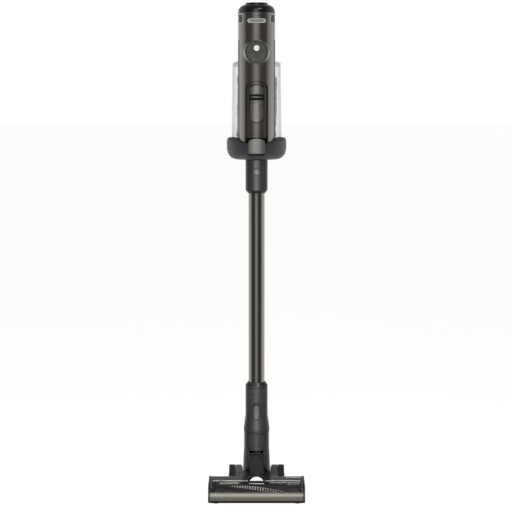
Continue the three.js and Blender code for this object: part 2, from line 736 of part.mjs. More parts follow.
// ---------------------------------------------------------------- the scene graph
const finishes = {
  graphite: { color: 0x4a4744, roughness: 0.3, metalness: 0.6 },
  matteBlack: { color: 0x2c2d2e, roughness: 0.6, metalness: 0 },
  glossBlack: { color: 0x141414, roughness: 0.15, metalness: 0 },
  darkGrey: { color: 0x3a3c3e, roughness: 0.5, metalness: 0 },
  smoke: { color: 0x6a6560, roughness: 0.1, metalness: 0, opacity: 0.5, transparent: true },
  clear: { color: 0xdfe2e2, roughness: 0.08, metalness: 0, opacity: 0.35, transparent: true },
  rubber: { color: 0x1c1c1c, roughness: 0.8, metalness: 0 },
  steel: { color: 0x9a9a98, roughness: 0.3, metalness: 1 },
  wandMetal: { color: 0x6d6864, roughness: 0.25, metalness: 0.9 },
  fleece: { color: 0x9c9c98, roughness: 0.95, metalness: 0 },
  white: { color: 0xe8e8e6, roughness: 0.3, metalness: 0 },
  silver: { color: 0x8f8c88, roughness: 0.3, metalness: 0.7 },
  board: { color: 0x1f5a35, roughness: 0.5, metalness: 0 },
  cell: { color: 0x4c7fa8, roughness: 0.4, metalness: 0.1 },
};

function piece(name, finish, made) {
  const result = made.getMesh();
  const geometry = new THREE.BufferGeometry();
  geometry.setAttribute("position", new THREE.BufferAttribute(result.vertProperties, 3));
  geometry.setIndex(new THREE.BufferAttribute(result.triVerts, 1));
  geometry.computeVertexNormals();
  const mesh = new THREE.Mesh(geometry, new THREE.MeshStandardMaterial(finishes[finish]));
  mesh.name = name;
  return mesh;
}

function pair(name, finish, make) {
  return [piece(`${name}_left`, finish, make(-1)), piece(`${name}_right`, finish, make(1))];
}

function group(...children) {
  const made = new THREE.Group();
  made.add(...children);
  return made;
}

const floorHead = group(
  piece("head_chassis", "matteBlack", headChassis()),
  piece("head_top_cover", "darkGrey", headTopCover()),
  piece("brush_window", "smoke", brushWindow()),
  piece("front_bumper", "rubber", frontBumper()),
  ...pair("end_cap", "glossBlack", endCap),
  piece("brush_core", "darkGrey", brushCore()),
  piece("brush_bristles", "rubber", brushBristles()),
  ...pair("brush_bearing", "steel", brushBearing),
  piece("brush_motor", "steel", rod("x", brushMotor.radius, [-97, -50], [brushMotor.y, brushMotor.z], coarse)),
  piece("motor_pulley", "steel", motorPulley()),
  piece("drive_belt", "rubber", driveBelt()),
  piece("swivel_cradle", "darkGrey", swivelCradle()),
  ...pair("wheel_bracket", "darkGrey", wheelBracket),
  ...pair("rear_axle", "steel", rearAxle),
  ...pair("rear_wheel", "rubber", rearWheelTyre),
  ...pair("front_roller", "rubber", frontRoller),
);

const elbow = group(
  piece("swivel_arch", "glossBlack", swivelArch()),
);

const neck = group(
  piece("neck_fork", "darkGrey", neckFork()),
  piece("neck_front_panel", "darkGrey", neckFrontPanel()),
  piece("neck_duct", "matteBlack", neckDuct()),
  piece("head_release_button", "silver", headReleaseButton()),
  ...pair("tilt_pin", "steel", tiltPin),
);

const wandGroup = group(piece("wand_tube", "wandMetal", wandTube()));

const battery = group(
  piece("battery_case", "graphite", batteryCase()),
  piece("battery_cells", "cell", batteryCells()),
  piece("battery_release_button", "silver", batteryReleaseButton()),
  piece("battery_pull_lever", "silver", batteryPullLever()),
);

const bagCompartment = group(
  piece("bin_cover", "clear", binCover()),
  piece("bin_hinge_pin", "steel", binHingePin()),
  piece("bin_floor", "matteBlack", binFloorPlate()),
  piece("bag_plate", "darkGrey", bagPlate()),
  piece("dust_bag", "fleece", dustBag()),
  piece("inlet_duct", "matteBlack", inletDuct()),
);

const motorSection = group(
  piece("motor_can", "steel", rod("z", 24, [1066, 1106], [0, 0])),
  piece("impeller", "steel", impeller()),
  piece("pre_motor_filter", "fleece", rod("z", 30, [1039, 1048], [0, 0])),
  piece("exhaust_filter", "fleece", exhaustFilter()),
  piece("filter_cap", "glossBlack", filterCap()),
  piece("circuit_board", "board", circuitBoard()),
  piece("control_disc", "matteBlack", controlDisc()),
  piece("power_button", "white", powerButtonCap()),
);

const handUnit = group(
  piece("inlet_neck", "darkGrey", inletNeck()),
  piece("wand_release_button", "silver", wandReleaseButton()),
  piece("bin_collar", "matteBlack", binCollar()),
  piece("collar_latch", "silver", collarLatch()),
  piece("front_shell", "graphite", frontShell()),
  piece("back_shell", "darkGrey", backShell()),
  piece("motor_rear_shell", "graphite", motorRearShell()),
  piece("nameplate", "silver", nameplate()),
  ...pair("side_vent", "matteBlack", sideVent),
  piece("handle_frame", "darkGrey", handleFrame()),
  piece("grip_insert", "rubber", gripInsert()),
  battery,
  bagCompartment,
  motorSection,
);

const vacuum = group(floorHead, elbow, neck, wandGroup, handUnit);
vacuum.position.y = -middleY;

export default vacuum;
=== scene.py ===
import bpy
import bmesh
import json
import math
import random
from mathutils import Matrix, Vector, noise


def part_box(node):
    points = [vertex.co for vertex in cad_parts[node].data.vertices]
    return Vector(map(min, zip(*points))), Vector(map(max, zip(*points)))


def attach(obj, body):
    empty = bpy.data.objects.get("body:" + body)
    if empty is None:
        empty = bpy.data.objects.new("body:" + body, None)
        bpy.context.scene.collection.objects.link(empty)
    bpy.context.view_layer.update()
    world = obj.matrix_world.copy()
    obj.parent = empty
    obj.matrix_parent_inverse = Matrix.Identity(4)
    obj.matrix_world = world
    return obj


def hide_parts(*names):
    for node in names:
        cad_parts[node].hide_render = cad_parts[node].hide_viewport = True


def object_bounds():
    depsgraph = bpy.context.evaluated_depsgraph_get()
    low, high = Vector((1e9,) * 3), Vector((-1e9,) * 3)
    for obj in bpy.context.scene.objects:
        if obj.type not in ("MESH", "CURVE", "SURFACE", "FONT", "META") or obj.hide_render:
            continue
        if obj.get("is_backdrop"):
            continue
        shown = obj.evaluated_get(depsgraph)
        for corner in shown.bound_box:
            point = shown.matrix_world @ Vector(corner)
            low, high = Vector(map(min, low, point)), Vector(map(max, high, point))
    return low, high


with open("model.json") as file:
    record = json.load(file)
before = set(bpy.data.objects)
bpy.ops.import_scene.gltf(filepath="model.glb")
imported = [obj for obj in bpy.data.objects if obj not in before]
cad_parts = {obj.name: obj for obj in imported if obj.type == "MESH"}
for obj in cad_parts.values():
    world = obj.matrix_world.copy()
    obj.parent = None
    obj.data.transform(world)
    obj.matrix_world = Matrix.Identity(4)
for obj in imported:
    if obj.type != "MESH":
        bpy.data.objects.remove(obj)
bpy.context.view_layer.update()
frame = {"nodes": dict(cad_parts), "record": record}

# Shapes are written in millimetres about the wand's axis (x = 0, y = 0), +Z up, -Y to the front.
wand_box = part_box("wand_tube")
AXIS_Y = (wand_box[0].y + wand_box[1].y) / 2 * 1000
FINE = 112
COARSE = 56
FAR = 200
WIDE = (-FAR, FAR)
TALL = (-10, 2400)
SIDES = ((-1, "left"), (1, "right"))
# Centres that several pieces share: (x, y) for what stands upright, (y, z) for what turns about X and
# (x, z) for what faces the front.
AXIS = (0, 0)
BIN_Y = 22
BIN_AXIS = (0, BIN_Y)
TILT_AXIS = (0, 80)
STEER_AXIS = (0, 29)
HINGE_AXIS = (84, 850)
LATCH_BUTTON = (0, 775)
CONTROL = (0, 1050)
POWER = (0, 1059)
BAND_TOP = 0.0275
GAP = 0.3

record = frame["record"]
BODY_OF = {n: b for b, nodes in record["behaviour"]["bodies"].items() for n in nodes}
SLOT_OF = {s["node"]: s["material_slot"] for s in record["subparts"]}


# ---------------------------------------------------------------- outlines
def arc(cx, cy, r, start, end, steps, ry=None):
    """Points of an arc, angles in degrees."""
    ry = r if ry is None else ry
    return [
        (
            cx + r * math.cos(math.radians(start + (end - start) * i / steps)),
            cy + ry * math.sin(math.radians(start + (end - start) * i / steps)),
        )
        for i in range(steps + 1)
    ]


def bezier(a, b, c, d, steps):
    """A cubic curve from a to d."""
    ts = [i / steps for i in range(steps + 1)]
    return [
        tuple(
            (1 - t) ** 3 * a[k] + 3 * (1 - t) * (1 - t) * t * b[k] + 3 * (1 - t) * t * t * c[k] + t**3 * d[k]
            for k in range(2)
        )
        for t in ts
    ]


def quad(a, b, c, steps):
    """A quadratic curve from a to c."""
    ts = [i / steps for i in range(steps + 1)]
    return [
        tuple((1 - t) * (1 - t) * a[k] + 2 * (1 - t) * t * b[k] + t * t * c[k] for k in range(2))
        for t in ts
    ]


def clean(points):
    """An outline without repeated points."""
    out = []
    for p in points:
        if not out or math.dist(p, out[-1]) > 1e-4:
            out.append(p)
    if math.dist(out[0], out[-1]) < 1e-4:
        out.pop()
    return out


def rounded(points, radius, steps=5, skip=()):
    """A closed outline with its corners rounded."""
    n = len(points)
    out = []
    for i, p in enumerate(points):
        a, b = Vector(points[i - 1]), Vector(points[(i + 1) % n])
        v = Vector(p)
        r = radius[i] if isinstance(radius, (list, tuple)) else radius
        if i in skip or r <= 0:
            out.append(tuple(v))
            continue
        da, db = (a - v), (b - v)
        la, lb = da.length, db.length
        da, db = da / la, db / lb
        half = math.acos(max(-1, min(1, da.dot(db)))) / 2
        if half < 0.05 or half > math.pi / 2 - 0.02:
            out.append(tuple(v))
            continue
        cut = min(r / math.tan(half), la * 0.48, lb * 0.48)
        p0, p1 = v + da * cut, v + db * cut
        for k in range(steps + 1):
            t = k / steps
            out.append(tuple((1 - t) ** 2 * p0 + 2 * (1 - t) * t * v + t * t * p1))
    return out


def arch_shape(half, bottom, top, rise, corner=0.0):
    """Flat at the bottom and arched at the top."""
    bottom_points = [(-half, bottom), (half, bottom)]
    if corner:
        bottom_points = arc(-half + corner, bottom + corner, corner, 180, 270, 5) + arc(
            half - corner, bottom + corner, corner, 270, 360, 5
        )
    return clean(bottom_points + arc(0, top - rise, half, 0, 180, 40, rise))


def cup_shape(half, bottom, top, drop=None, corner=0.0):
    """Flat at the top and round at the bottom."""
    drop = half if drop is None else drop
    top_points = [(half, top), (-half, top)]
    if corner:
        top_points = arc(half - corner, top - corner, corner, 0, 90, 5) + arc(
            -half + corner, top - corner, corner, 90, 180, 5
        )
    return clean(arc(0, bottom + drop, half, 180, 360, 40, drop) + top_points)


def pill_shape(half, bottom, top):
    return clean(arc(0, bottom + half, half, 180, 360, 24) + arc(0, top - half, half, 0, 180, 24))


# ---------------------------------------------------------------- solids
def outward(mesh):
    """Turns every face to point out."""
    bm = bmesh.new()
    bm.from_mesh(mesh)
    bmesh.ops.recalc_face_normals(bm, faces=bm.faces)
    bm.to_mesh(mesh)
    bm.free()
    return mesh


def mesh_from(points, faces):
    mesh = bpy.data.meshes.new("shape")
    mesh.from_pydata([tuple(p) for p in points], [], faces)
    return outward(mesh)


def prism(axis, outline, reach):
    """An outline pushed along an axis: x takes (y, z), y takes (x, z) and z takes (x, y)."""
    place = {
        "x": lambda u, v, w: (w, u, v),
        "y": lambda u, v, w: (u, w, v),
        "z": lambda u, v, w: (u, v, w),
    }[axis]
    n = len(outline)
    points = [place(u, v, w) for w in reach for u, v in outline]
    sides = [(i, (i + 1) % n, n + (i + 1) % n, n + i) for i in range(n)]
    return mesh_from(points, sides + [tuple(range(n)), tuple(range(n, 2 * n))])


def circle(cx, cy, r, steps):
    return [
        (cx + r * math.cos(2 * math.pi * i / steps), cy + r * math.sin(2 * math.pi * i / steps))
        for i in range(steps)
    ]


def rod(axis, r, reach, across, steps=FINE, end=None):
    if end is None:
        return prism(axis, circle(*across, r, steps), reach)
    profile = [(0, reach[0]), (r, reach[0]), (end, reach[1]), (0, reach[1])]
    turned = lathe(profile, steps=steps)
    return turn_to(turned, axis, across)


def turn_to(mesh, axis, across, side=1):
    """Moves a lathe made about Z so that it stands along axis, at its place across, on one side."""
    for v in mesh.vertices:
        x, y, z = v.co
        if axis == "x":
            v.co = (side * z, across[0] + x, across[1] + y)
        elif axis == "y":
            v.co = (across[0] + x, z, across[1] - y)
        else:
            v.co = (across[0] + x, across[1] + y, z)
    return outward(mesh)


def lathe(profile, y=0.0, steps=FINE, wobble=None):
    """A closed profile of (radius, z) turned about a vertical axis at y."""
    points, rings = [], []
    for r, z in profile:
        if r < 1e-6:
            rings.append([len(points)] * steps)
            points.append((0, y, z))
        else:
            ring = []
            for i in range(steps):
                a = 2 * math.pi * i / steps
                rr = r if wobble is None else wobble(r, a)
                ring.append(len(points))
                points.append((rr * math.sin(a), y - rr * math.cos(a), z))
            rings.append(ring)
    faces = []
    n = len(profile)
    for k in range(n):
        a, b = rings[k], rings[(k + 1) % n]
        if a[0] == a[1] and b[0] == b[1]:
            continue
        for i in range(steps):
            j = (i + 1) % steps
            f = [a[i], a[j], b[j], b[i]]
            f = [v for q, v in enumerate(f) if v not in f[:q]]
            if len(f) > 2:
                faces.append(tuple(f))
    return mesh_from(points, faces)


def tube(axis, outer, inner, reach, across, steps=FINE):
    hole = rod(axis, inner, (reach[0] - 1, reach[1] + 1), across, steps)
    return cut(rod(axis, outer, reach, across, steps), hole)


def block(xs, ys, zs):
    return prism("z", [(xs[0], ys[0]), (xs[1], ys[0]), (xs[1], ys[1]), (xs[0], ys[1])], zs)


scratch = []


def boolean(a, b, operation):
    """One boolean step, done by the exact solver where the fast one gives nothing."""
    if not scratch:
        for name in ("scratch_a", "scratch_b"):
            o = bpy.data.objects.new(name, a)
            bpy.context.scene.collection.objects.link(o)
            scratch.append(o)
        scratch[0].modifiers.new("b", "BOOLEAN")
    keep, tool = scratch
    keep.data, tool.data = a, b
    m = keep.modifiers["b"]
    m.solver = "MANIFOLD"
    m.operation = operation
    m.object = tool
    dg = bpy.context.evaluated_depsgraph_get()
    dg.update()
    made = bpy.data.meshes.new_from_object(keep.evaluated_get(dg))
    if len(made.polygons) == 0:
        m.solver = "EXACT"
        dg = bpy.context.evaluated_depsgraph_get()
        dg.update()
        made = bpy.data.meshes.new_from_object(keep.evaluated_get(dg))
    return made


def combined(operation):
    def run(a, *others):
        for b in others:
            a = boolean(a, b, operation)
        return a

    return run


cut, join, common = combined("DIFFERENCE"), combined("UNION"), combined("INTERSECT")


def in_front(y):
    return block(WIDE, (-FAR, y), TALL)


def behind(y):
    return block(WIDE, (y, FAR), TALL)


def span(side, a, b):
    """A stretch in x from a to b, or its mirror image on the other side."""
    return (a, b) if side > 0 else (-b, -a)


def bundle(meshes):
    """Several loose shapes in one mesh."""
    bm = bmesh.new()
    for mesh in meshes:
        bm.from_mesh(mesh)
    out = bpy.data.meshes.new("bundle")
    bm.to_mesh(out)
    bm.free()
    return out


def band(count, around):
    """Quads between count + 1 rings of around points each."""
    pairs = [(i, (i + 1) % around) for i in range(around)]
    rows = [(k * around, (k + 1) * around) for k in range(count)]
    return [(low + i, low + j, high + j, high + i) for low, high in rows for i, j in pairs]


# ---------------------------------------------------------------- materials
FLAKES = 5200


def grey(level):
    return (level, level, level)


class Nodes:
    """Node-building shorthand for one node tree."""

    def __init__(self, tree):
        self.tree = tree
        self.coords = self.node("TexCoord")

    def node(self, kind, **settings):
        n = self.tree.nodes.new("ShaderNode" + kind)
        for key, value in settings.items():
            setattr(n, key, value)
        return n

    def link(self, a, b):
        self.tree.links.new(a, b)

    def fill(self, socket, value):
        """Links a socket to an output, or sets it to a number or a colour."""
        if isinstance(value, bpy.types.NodeSocket):
            self.link(value, socket)
        else:
            socket.default_value = (*value, 1) if isinstance(value, tuple) else value

    def calc(self, operation, *values, clamp=False):
        n = self.node("Math", operation=operation, use_clamp=clamp)
        for socket, value in zip(n.inputs, values):
            self.fill(socket, value)
        return n.outputs[0]

    def mixed(self, factor, a, b):
        n = self.node("Mix", data_type="RGBA")
        self.fill(n.inputs["Factor"], factor)
        self.fill(n.inputs["A"], a)
        self.fill(n.inputs["B"], b)
        return n.outputs["Result"]

    def spread(self, value, low, high, start=0.3, end=0.7, ease="LINEAR"):
        n = self.node("MapRange", interpolation_type=ease)
        for key, number in (("From Min", start), ("From Max", end), ("To Min", low), ("To Max", high)):
            n.inputs[key].default_value = number
        self.link(value, n.inputs["Value"])
        return n.outputs["Result"]

    def colours(self, value, stops, ease="LINEAR"):
        n = self.node("ValToRGB")
        ramp = n.color_ramp
        ramp.interpolation = ease
        while len(ramp.elements) < len(stops):
            ramp.elements.new(0.5)
        for element, (at, colour) in zip(ramp.elements, stops):
            element.position = at
            element.color = (*colour, 1)
        self.link(value, n.inputs["Fac"])
        return n.outputs["Color"]


class Paint(Nodes):
    """One material, built round its Principled BSDF node."""

    def __init__(self, name):
        self.mat = bpy.data.materials.new(name)
        self.mat.use_nodes = True
        super().__init__(self.mat.node_tree)
        self.shader = self.tree.nodes["Principled BSDF"]

    def set(self, **values):
        for key, value in values.items():
            self.shader.inputs[key.replace("_", " ")].default_value = value
        return self

    def texture(self, kind, vector=None, settings=(), **inputs):
        n = self.node("Tex" + kind, **dict(settings))
        for key, value in inputs.items():
            n.inputs[key].default_value = value
        self.link(vector or self.coords.outputs["Object"], n.inputs["Vector"])
        return n.outputs[0 if kind == "Voronoi" else "Fac"]

    def stretched(self, scale):
        n = self.node("Mapping")
        n.inputs["Scale"].default_value = scale
        self.link(self.coords.outputs["Object"], n.inputs["Vector"])
        return n.outputs["Vector"]

    def noise(self, scale, detail=3.0, vector=None, roughness=0.5):
        return self.texture("Noise", vector, Scale=scale, Detail=detail, Roughness=roughness)

    def cells(self, scale):
        return self.texture("Voronoi", Scale=scale)

    def bars(self, scale, distortion):
        return self.texture("Wave", settings={"bands_direction": "X"}, Scale=scale, Distortion=distortion)

    def facing(self, blend):
        n = self.node("LayerWeight")
        n.inputs["Blend"].default_value = blend
        return n.outputs["Facing"]

    def colour(self, out):
        self.link(out, self.shader.inputs["Base Color"])
        return self

    def rough(self, out):
        self.link(out, self.shader.inputs["Roughness"])
        return self

    def bump(self, height, distance, strength=1.0):
        b = self.node("Bump")
        b.inputs["Distance"].default_value = distance
        b.inputs["Strength"].default_value = strength
        self.link(height, b.inputs["Height"])
        before = self.shader.inputs["Normal"]
        if before.is_linked:
            self.link(before.links[0].from_socket, b.inputs["Normal"])
        self.link(b.outputs["Normal"], self.shader.inputs["Normal"])
        return self

    def worn(self, colour_out, light, amount=0.35):
        """Lighter along its edges, from the mesh's own pointiness."""
        edge = self.spread(self.node("NewGeometry").outputs["Pointiness"], 0.0, amount, 0.52, 0.60)
        scuff = self.calc("MULTIPLY", edge, self.spread(self.noise(160, 4), 0.2, 1.0, 0.35, 0.65))
        return self.mixed(scuff, colour_out, light)


def two(p, low, high, scale=25, detail=4):
    return p.colours(p.noise(scale, detail), [(0.35, low), (0.65, high)])


def plastic(name, low, high, rough, grain, depth, light, wear=0.3, specular=0.5, coat=0.0):
    """Moulded plastic: faint mottling, spark-eroded grain and lighter scuffed edges."""
    p = Paint(name)
    p.colour(p.worn(two(p, low, high), light, wear))
    p.rough(p.spread(p.noise(90, 5), rough[0], rough[1]))
    p.bump(p.cells(grain), depth, 0.55)
    p.bump(p.noise(grain * 0.35, 3), depth * 1.5, 0.35)
    return p.set(Specular_IOR_Level=specular, Coat_Weight=coat, Coat_Roughness=0.2).mat


def satin_painted_highlight(name, face, edge, rough):
    """Half-metallic satin plastic with a painted highlight: its colour is lightest where it is seen face on
    and near black where it is seen edge on.
    """
    p = Paint(name)
    half_highlight = tuple(c * 0.55 for c in face)
    # Painted highlight: the base colour goes from light face on to near black edge on.
    painted_highlight = p.colours(p.facing(0.5), [(0.0, face), (0.05, half_highlight), (0.30, edge)])
    p.colour(p.worn(painted_highlight, grey(0.14), 0.25))
    p.rough(p.spread(p.noise(90, 5), rough[0], rough[1]))
    p.bump(p.cells(1700), 0.000012, 0.5)
    p.bump(p.noise(600, 3), 0.000015, 0.3)
    return p.set(Metallic=0.5, Specular_IOR_Level=0.5).mat


def lacquer(name, dark, bright, rough, coat):
    """Metallic lacquer: fine flakes under a clear coat, with a little orange peel."""
    p = Paint(name)
    p.colour(p.colours(p.cells(FLAKES), [(0.0, bright), (0.55, dark), (1.0, bright)]))
    p.rough(p.spread(p.noise(60, 4), rough[0], rough[1]))
    p.bump(p.noise(FLAKES / 2, 2), 0.000003, 0.2)
    return p.set(Metallic=0.92, Coat_Weight=coat, Coat_Roughness=0.12).mat


def metal(name, colour, rough, stretch, depth=0.00001):
    """Drawn or turned metal, with fine lines along or round it."""
    p = Paint(name)
    lines = p.noise(1.0, 3, p.stretched(stretch))
    light = tuple(min(1.0, c * 1.14) for c in colour)
    dark = tuple(c * 0.88 for c in colour)
    p.colour(p.colours(lines, [(0.3, dark), (0.7, light)]))
    p.rough(p.spread(p.noise(1.0, 2, p.stretched(tuple(s * 0.6 for s in stretch))), *rough))
    p.bump(lines, depth, 0.4)
    return p.set(Metallic=1.0).mat


def clear(name, tint, face, edge, rough):
    """See-through plastic, denser where it is seen edge on, with faint moulding haze."""
    p = Paint(name)
    alpha = p.spread(p.facing(0.28), face, edge, 0.25, 0.97)
    haze = p.spread(p.noise(38, 3), 0.94, 1.06)
    p.link(p.calc("MULTIPLY", alpha, haze, clamp=True), p.shader.inputs["Alpha"])
    light = tuple(min(1, c * 1.06) for c in tint)
    p.colour(two(p, tint, light, 18))
    p.rough(p.spread(p.noise(70, 4), rough, rough * 1.8))
    p.bump(p.noise(140, 2), 0.00003, 0.2)
    return p.set(IOR=1.46).mat


def smoked():
    """The brush window: smoky and see-through above, metallic lacquer on the inside of its lower front."""
    p = Paint("smoky_window_plastic")
    glaze = p.spread(p.facing(0.3), 0.14, 0.5, 0.3, 0.98)
    split = p.node("SeparateXYZ")
    p.link(p.coords.outputs["Object"], split.inputs[0])
    painted = p.spread(split.outputs["Z"], 1.0, 0.0, BAND_TOP - 0.0008, BAND_TOP + 0.0008)
    p.link(p.calc("MAXIMUM", glaze, painted, clamp=True), p.shader.inputs["Alpha"])
    smoke = two(p, (0.03, 0.029, 0.028), (0.045, 0.043, 0.042), 18)
    band = p.colours(p.cells(FLAKES), [(0.0, (0.34, 0.322, 0.302)), (0.6, (0.29, 0.275, 0.258))])
    p.colour(p.mixed(painted, smoke, band))
    p.link(p.spread(painted, 0.0, 0.92, 0.0, 1.0), p.shader.inputs["Metallic"])
    p.rough(p.calc("MULTIPLY_ADD", painted, 0.12, p.spread(p.noise(70, 4), 0.06, 0.10)))
    p.bump(p.noise(140, 2), 0.00002, 0.15)
    return p.set(IOR=1.6).mat


def cloth():
    """Non-woven fleece: matted fibres, pressed spots and a soft nap."""
    p = Paint("fleece_fabric")
    fibres = p.noise(1.0, 5, p.stretched((900, 900, 380)), 0.7)
    stops = [(0.3, (0.38, 0.375, 0.36)), (0.55, (0.50, 0.495, 0.48)), (0.75, (0.6, 0.59, 0.57))]
    p.colour(p.colours(fibres, stops))
    p.rough(p.spread(p.noise(200, 3), 0.85, 1.0))
    p.bump(p.cells(420), 0.0003, 0.5)
    p.bump(fibres, 0.0003, 0.8)
    return p.set(Sheen_Weight=0.35, Sheen_Roughness=0.6).mat


def pleated():
    p = Paint("pleated_filter_paper")
    fibres = p.noise(1.0, 5, p.stretched((700, 700, 240)), 0.65)
    p.colour(p.colours(fibres, [(0.3, (0.58, 0.56, 0.50)), (0.7, (0.78, 0.76, 0.70))]))
    p.rough(p.spread(p.noise(180, 3), 0.8, 0.95))
    p.bump(fibres, 0.0002, 0.6)
    return p.mat


def soft_rubber(name, low, high, grain=1500, light=(0.12, 0.12, 0.118)):
    p = Paint(name)
    p.colour(p.worn(two(p, low, high, 60), light, 0.35))
    p.rough(p.spread(p.noise(220, 5), 0.62, 0.88))
    p.bump(p.cells(grain), 0.00008, 0.5)
    return p.set(Specular_IOR_Level=0.35).mat


def ribbed_nylon_painted_shade():
    """White strip fabric, ribbed across, shown as a comb of light and dark bars whose dark bars are painted
    shade in the grooves between the ribs.
    """
    p = Paint("ribbed_strip_fabric")
    bars = p.bars(52, 0.6)
    # Painted shade: the colour drops to near black between the ribs.
    p.colour(p.colours(bars, [(0.25, grey(0.03)), (0.5, (0.5, 0.49, 0.47)), (0.8, (0.8, 0.79, 0.76))]))
    p.rough(p.spread(p.noise(180, 4), 0.35, 0.6))
    p.bump(bars, 0.0004, 0.6)
    return p.mat


def striped_board():
    p = Paint("circuit_board_lacquer")
    tracks = p.bars(60, 6.0)
    stops = [(0.0, (0.01, 0.09, 0.04)), (0.55, (0.015, 0.12, 0.055)), (0.8, (0.05, 0.2, 0.1))]
    p.colour(p.colours(tracks, stops))
    p.rough(p.spread(p.noise(120, 3), 0.3, 0.5))
    p.bump(tracks, 0.0001, 0.4)
    return p.mat


def wrapped_cell():
    p = Paint("shrink_wrapped_cells")
    p.colour(two(p, (0.02, 0.09, 0.2), (0.03, 0.13, 0.28), 40))
    p.rough(p.spread(p.noise(90, 4), 0.22, 0.42))
    p.bump(p.noise(260, 3), 0.00008, 0.4)
    return p.mat


GRAPHITE = lacquer("graphite_lacquer", (0.245, 0.232, 0.218), (0.30, 0.285, 0.268), (0.20, 0.25), 0.1)
SILVER = lacquer("silver_lacquer", (0.39, 0.38, 0.365), (0.47, 0.455, 0.44), (0.22, 0.27), 0.1)
GUNMETAL = lacquer("gunmetal_lacquer", (0.25, 0.245, 0.235), (0.31, 0.30, 0.29), (0.17, 0.21), 0.3)
WAND = metal("anodised_wand", (0.33, 0.31, 0.285), (0.2, 0.27), (2600, 2600, 14))
STEEL = metal("turned_steel", (0.56, 0.56, 0.55), (0.24, 0.34), (30, 3000, 3000))
ALLOY = metal("cast_alloy", (0.5, 0.5, 0.49), (0.36, 0.5), (500, 500, 500), depth=0.00006)
MATTE = plastic(
    "matte_black_plastic", (0.022, 0.023, 0.0245), (0.03, 0.031, 0.033), (0.40, 0.5),
    1500, 0.00004, grey(0.10), 0.3, 0.7
)
# Dark grey plastic, with a painted highlight where it faces the view.
DARK = satin_painted_highlight("dark_grey_plastic", (0.140, 0.141, 0.142), (0.016, 0.0163, 0.017), (0.24, 0.30))
BRACKET = plastic(
    "stippled_grey_plastic", (0.085, 0.088, 0.09), (0.12, 0.124, 0.126), (0.5, 0.66),
    900, 0.00014, grey(0.24), 0.4
)
GLOSS = plastic(
    "gloss_black_plastic", (0.006, 0.006, 0.0065), (0.010, 0.010, 0.0105), (0.13, 0.2),
    900, 0.00001, grey(0.05), 0.2, 0.6, 0.3
)
DISC = plastic(
    "control_disc_plastic", (0.06, 0.061, 0.057), (0.072, 0.073, 0.069), (0.46, 0.56),
    2300, 0.00004, grey(0.16)
)
INK = plastic(
    "pad_printed_marks", (0.115, 0.115, 0.11), (0.14, 0.14, 0.135), (0.5, 0.6), 1500, 0.00002, grey(0.2), 0.1
)
WHITE = plastic(
    "white_button_plastic", (0.86, 0.86, 0.85), (0.92, 0.92, 0.91), (0.24, 0.34),
    2200, 0.00002, grey(0.95), 0.1
)
PLATE = plastic(
    "blank_plate_lacquer", (0.48, 0.48, 0.475), (0.58, 0.58, 0.575), (0.28, 0.38),
    1200, 0.00002, grey(0.8), 0.5
)
FIELD = plastic(
    "plate_field_lacquer", (0.16, 0.16, 0.158), (0.21, 0.21, 0.208), (0.34, 0.42),
    1200, 0.00002, grey(0.3), 0.3
)
IVORY = plastic(
    "ivory_motor_housing", (0.50, 0.48, 0.44), (0.60, 0.58, 0.53), (0.34, 0.46),
    1200, 0.00003, (0.75, 0.72, 0.66), 0.4
)
CLEAR = clear("clear_bin_plastic", (0.52, 0.535, 0.535), 0.14, 0.66, 0.05)
SMOKE = smoked()
RUBBER = soft_rubber("black_rubber", (0.016, 0.016, 0.0165), (0.026, 0.026, 0.027))
BUMPER = soft_rubber("bumper_rubber", grey(0.005), grey(0.009), 1500, grey(0.02))
GRIP = soft_rubber("grip_rubber", (0.022, 0.022, 0.023), (0.032, 0.032, 0.034), 1100)
NYLON = plastic(
    "black_nylon_bristle", (0.012, 0.012, 0.013), (0.03, 0.03, 0.031), (0.35, 0.6), 1200, 0.00005, grey(0.1)
)
PALE = plastic(
    "pale_nylon_bristle", (0.42, 0.41, 0.39), (0.62, 0.6, 0.57), (0.4, 0.6), 1200, 0.00005, grey(0.8)
)
FLEECE = cloth()
PAPER = pleated()
BOARD = striped_board()
RIBBED = ribbed_nylon_painted_shade()
CELL = wrapped_cell()
CARD = plastic(
    "bag_collar_card", (0.30, 0.24, 0.16), (0.38, 0.31, 0.22), (0.75, 0.9), 700, 0.0001, (0.5, 0.42, 0.32)
)

SLOT_PAINT = {
    "graphite": GRAPHITE, "matte_black": MATTE, "gloss_black": GLOSS, "dark_grey": DARK,
    "smoke_clear": SMOKE, "clear": CLEAR, "rubber": RUBBER, "steel": STEEL, "wand_metal": WAND,
    "motor_alloy": ALLOY, "fleece": FLEECE, "filter_media": PAPER, "white": WHITE, "silver": SILVER,
    "bristle": NYLON, "board": BOARD, "cell": CELL,
}
for node, o in frame["nodes"].items():
    o.data.materials.clear()
    o.data.materials.append(SLOT_PAINT[SLOT_OF[node]])


# ---------------------------------------------------------------- pieces
def smooth(o, bevel=0.4, angle=30, segments=2, shade=40):
    """Rounds the sharp edges, then shades the mesh smooth with its flat faces kept flat."""
    bm = bmesh.new()
    bm.from_mesh(o.data)
    bmesh.ops.triangulate(bm, faces=[f for f in bm.faces if len(f.verts) > 4])
    bmesh.ops.remove_doubles(bm, verts=bm.verts, dist=0.000012)
    bmesh.ops.dissolve_degenerate(bm, edges=bm.edges, dist=0.000008)
    bm.to_mesh(o.data)
    bm.free()
    if bevel:
        m = o.modifiers.new("bevel", "BEVEL")
        m.width = bevel / 1000
        m.segments = segments
        m.limit_method = "ANGLE"
        m.angle_limit = math.radians(angle)
        m.use_clamp_overlap = False
        m.miter_outer = "MITER_ARC"
        m.harden_normals = False
    dg = bpy.context.evaluated_depsgraph_get()
    dg.update()
    made = bpy.data.meshes.new_from_object(o.evaluated_get(dg))
    o.modifiers.clear()
    o.data = made
    made.shade_smooth()
    made.set_sharp_from_angle(angle=math.radians(shade))
    w = o.modifiers.new("normals", "WEIGHTED_NORMAL")
    w.keep_sharp = True
    w.weight = 60


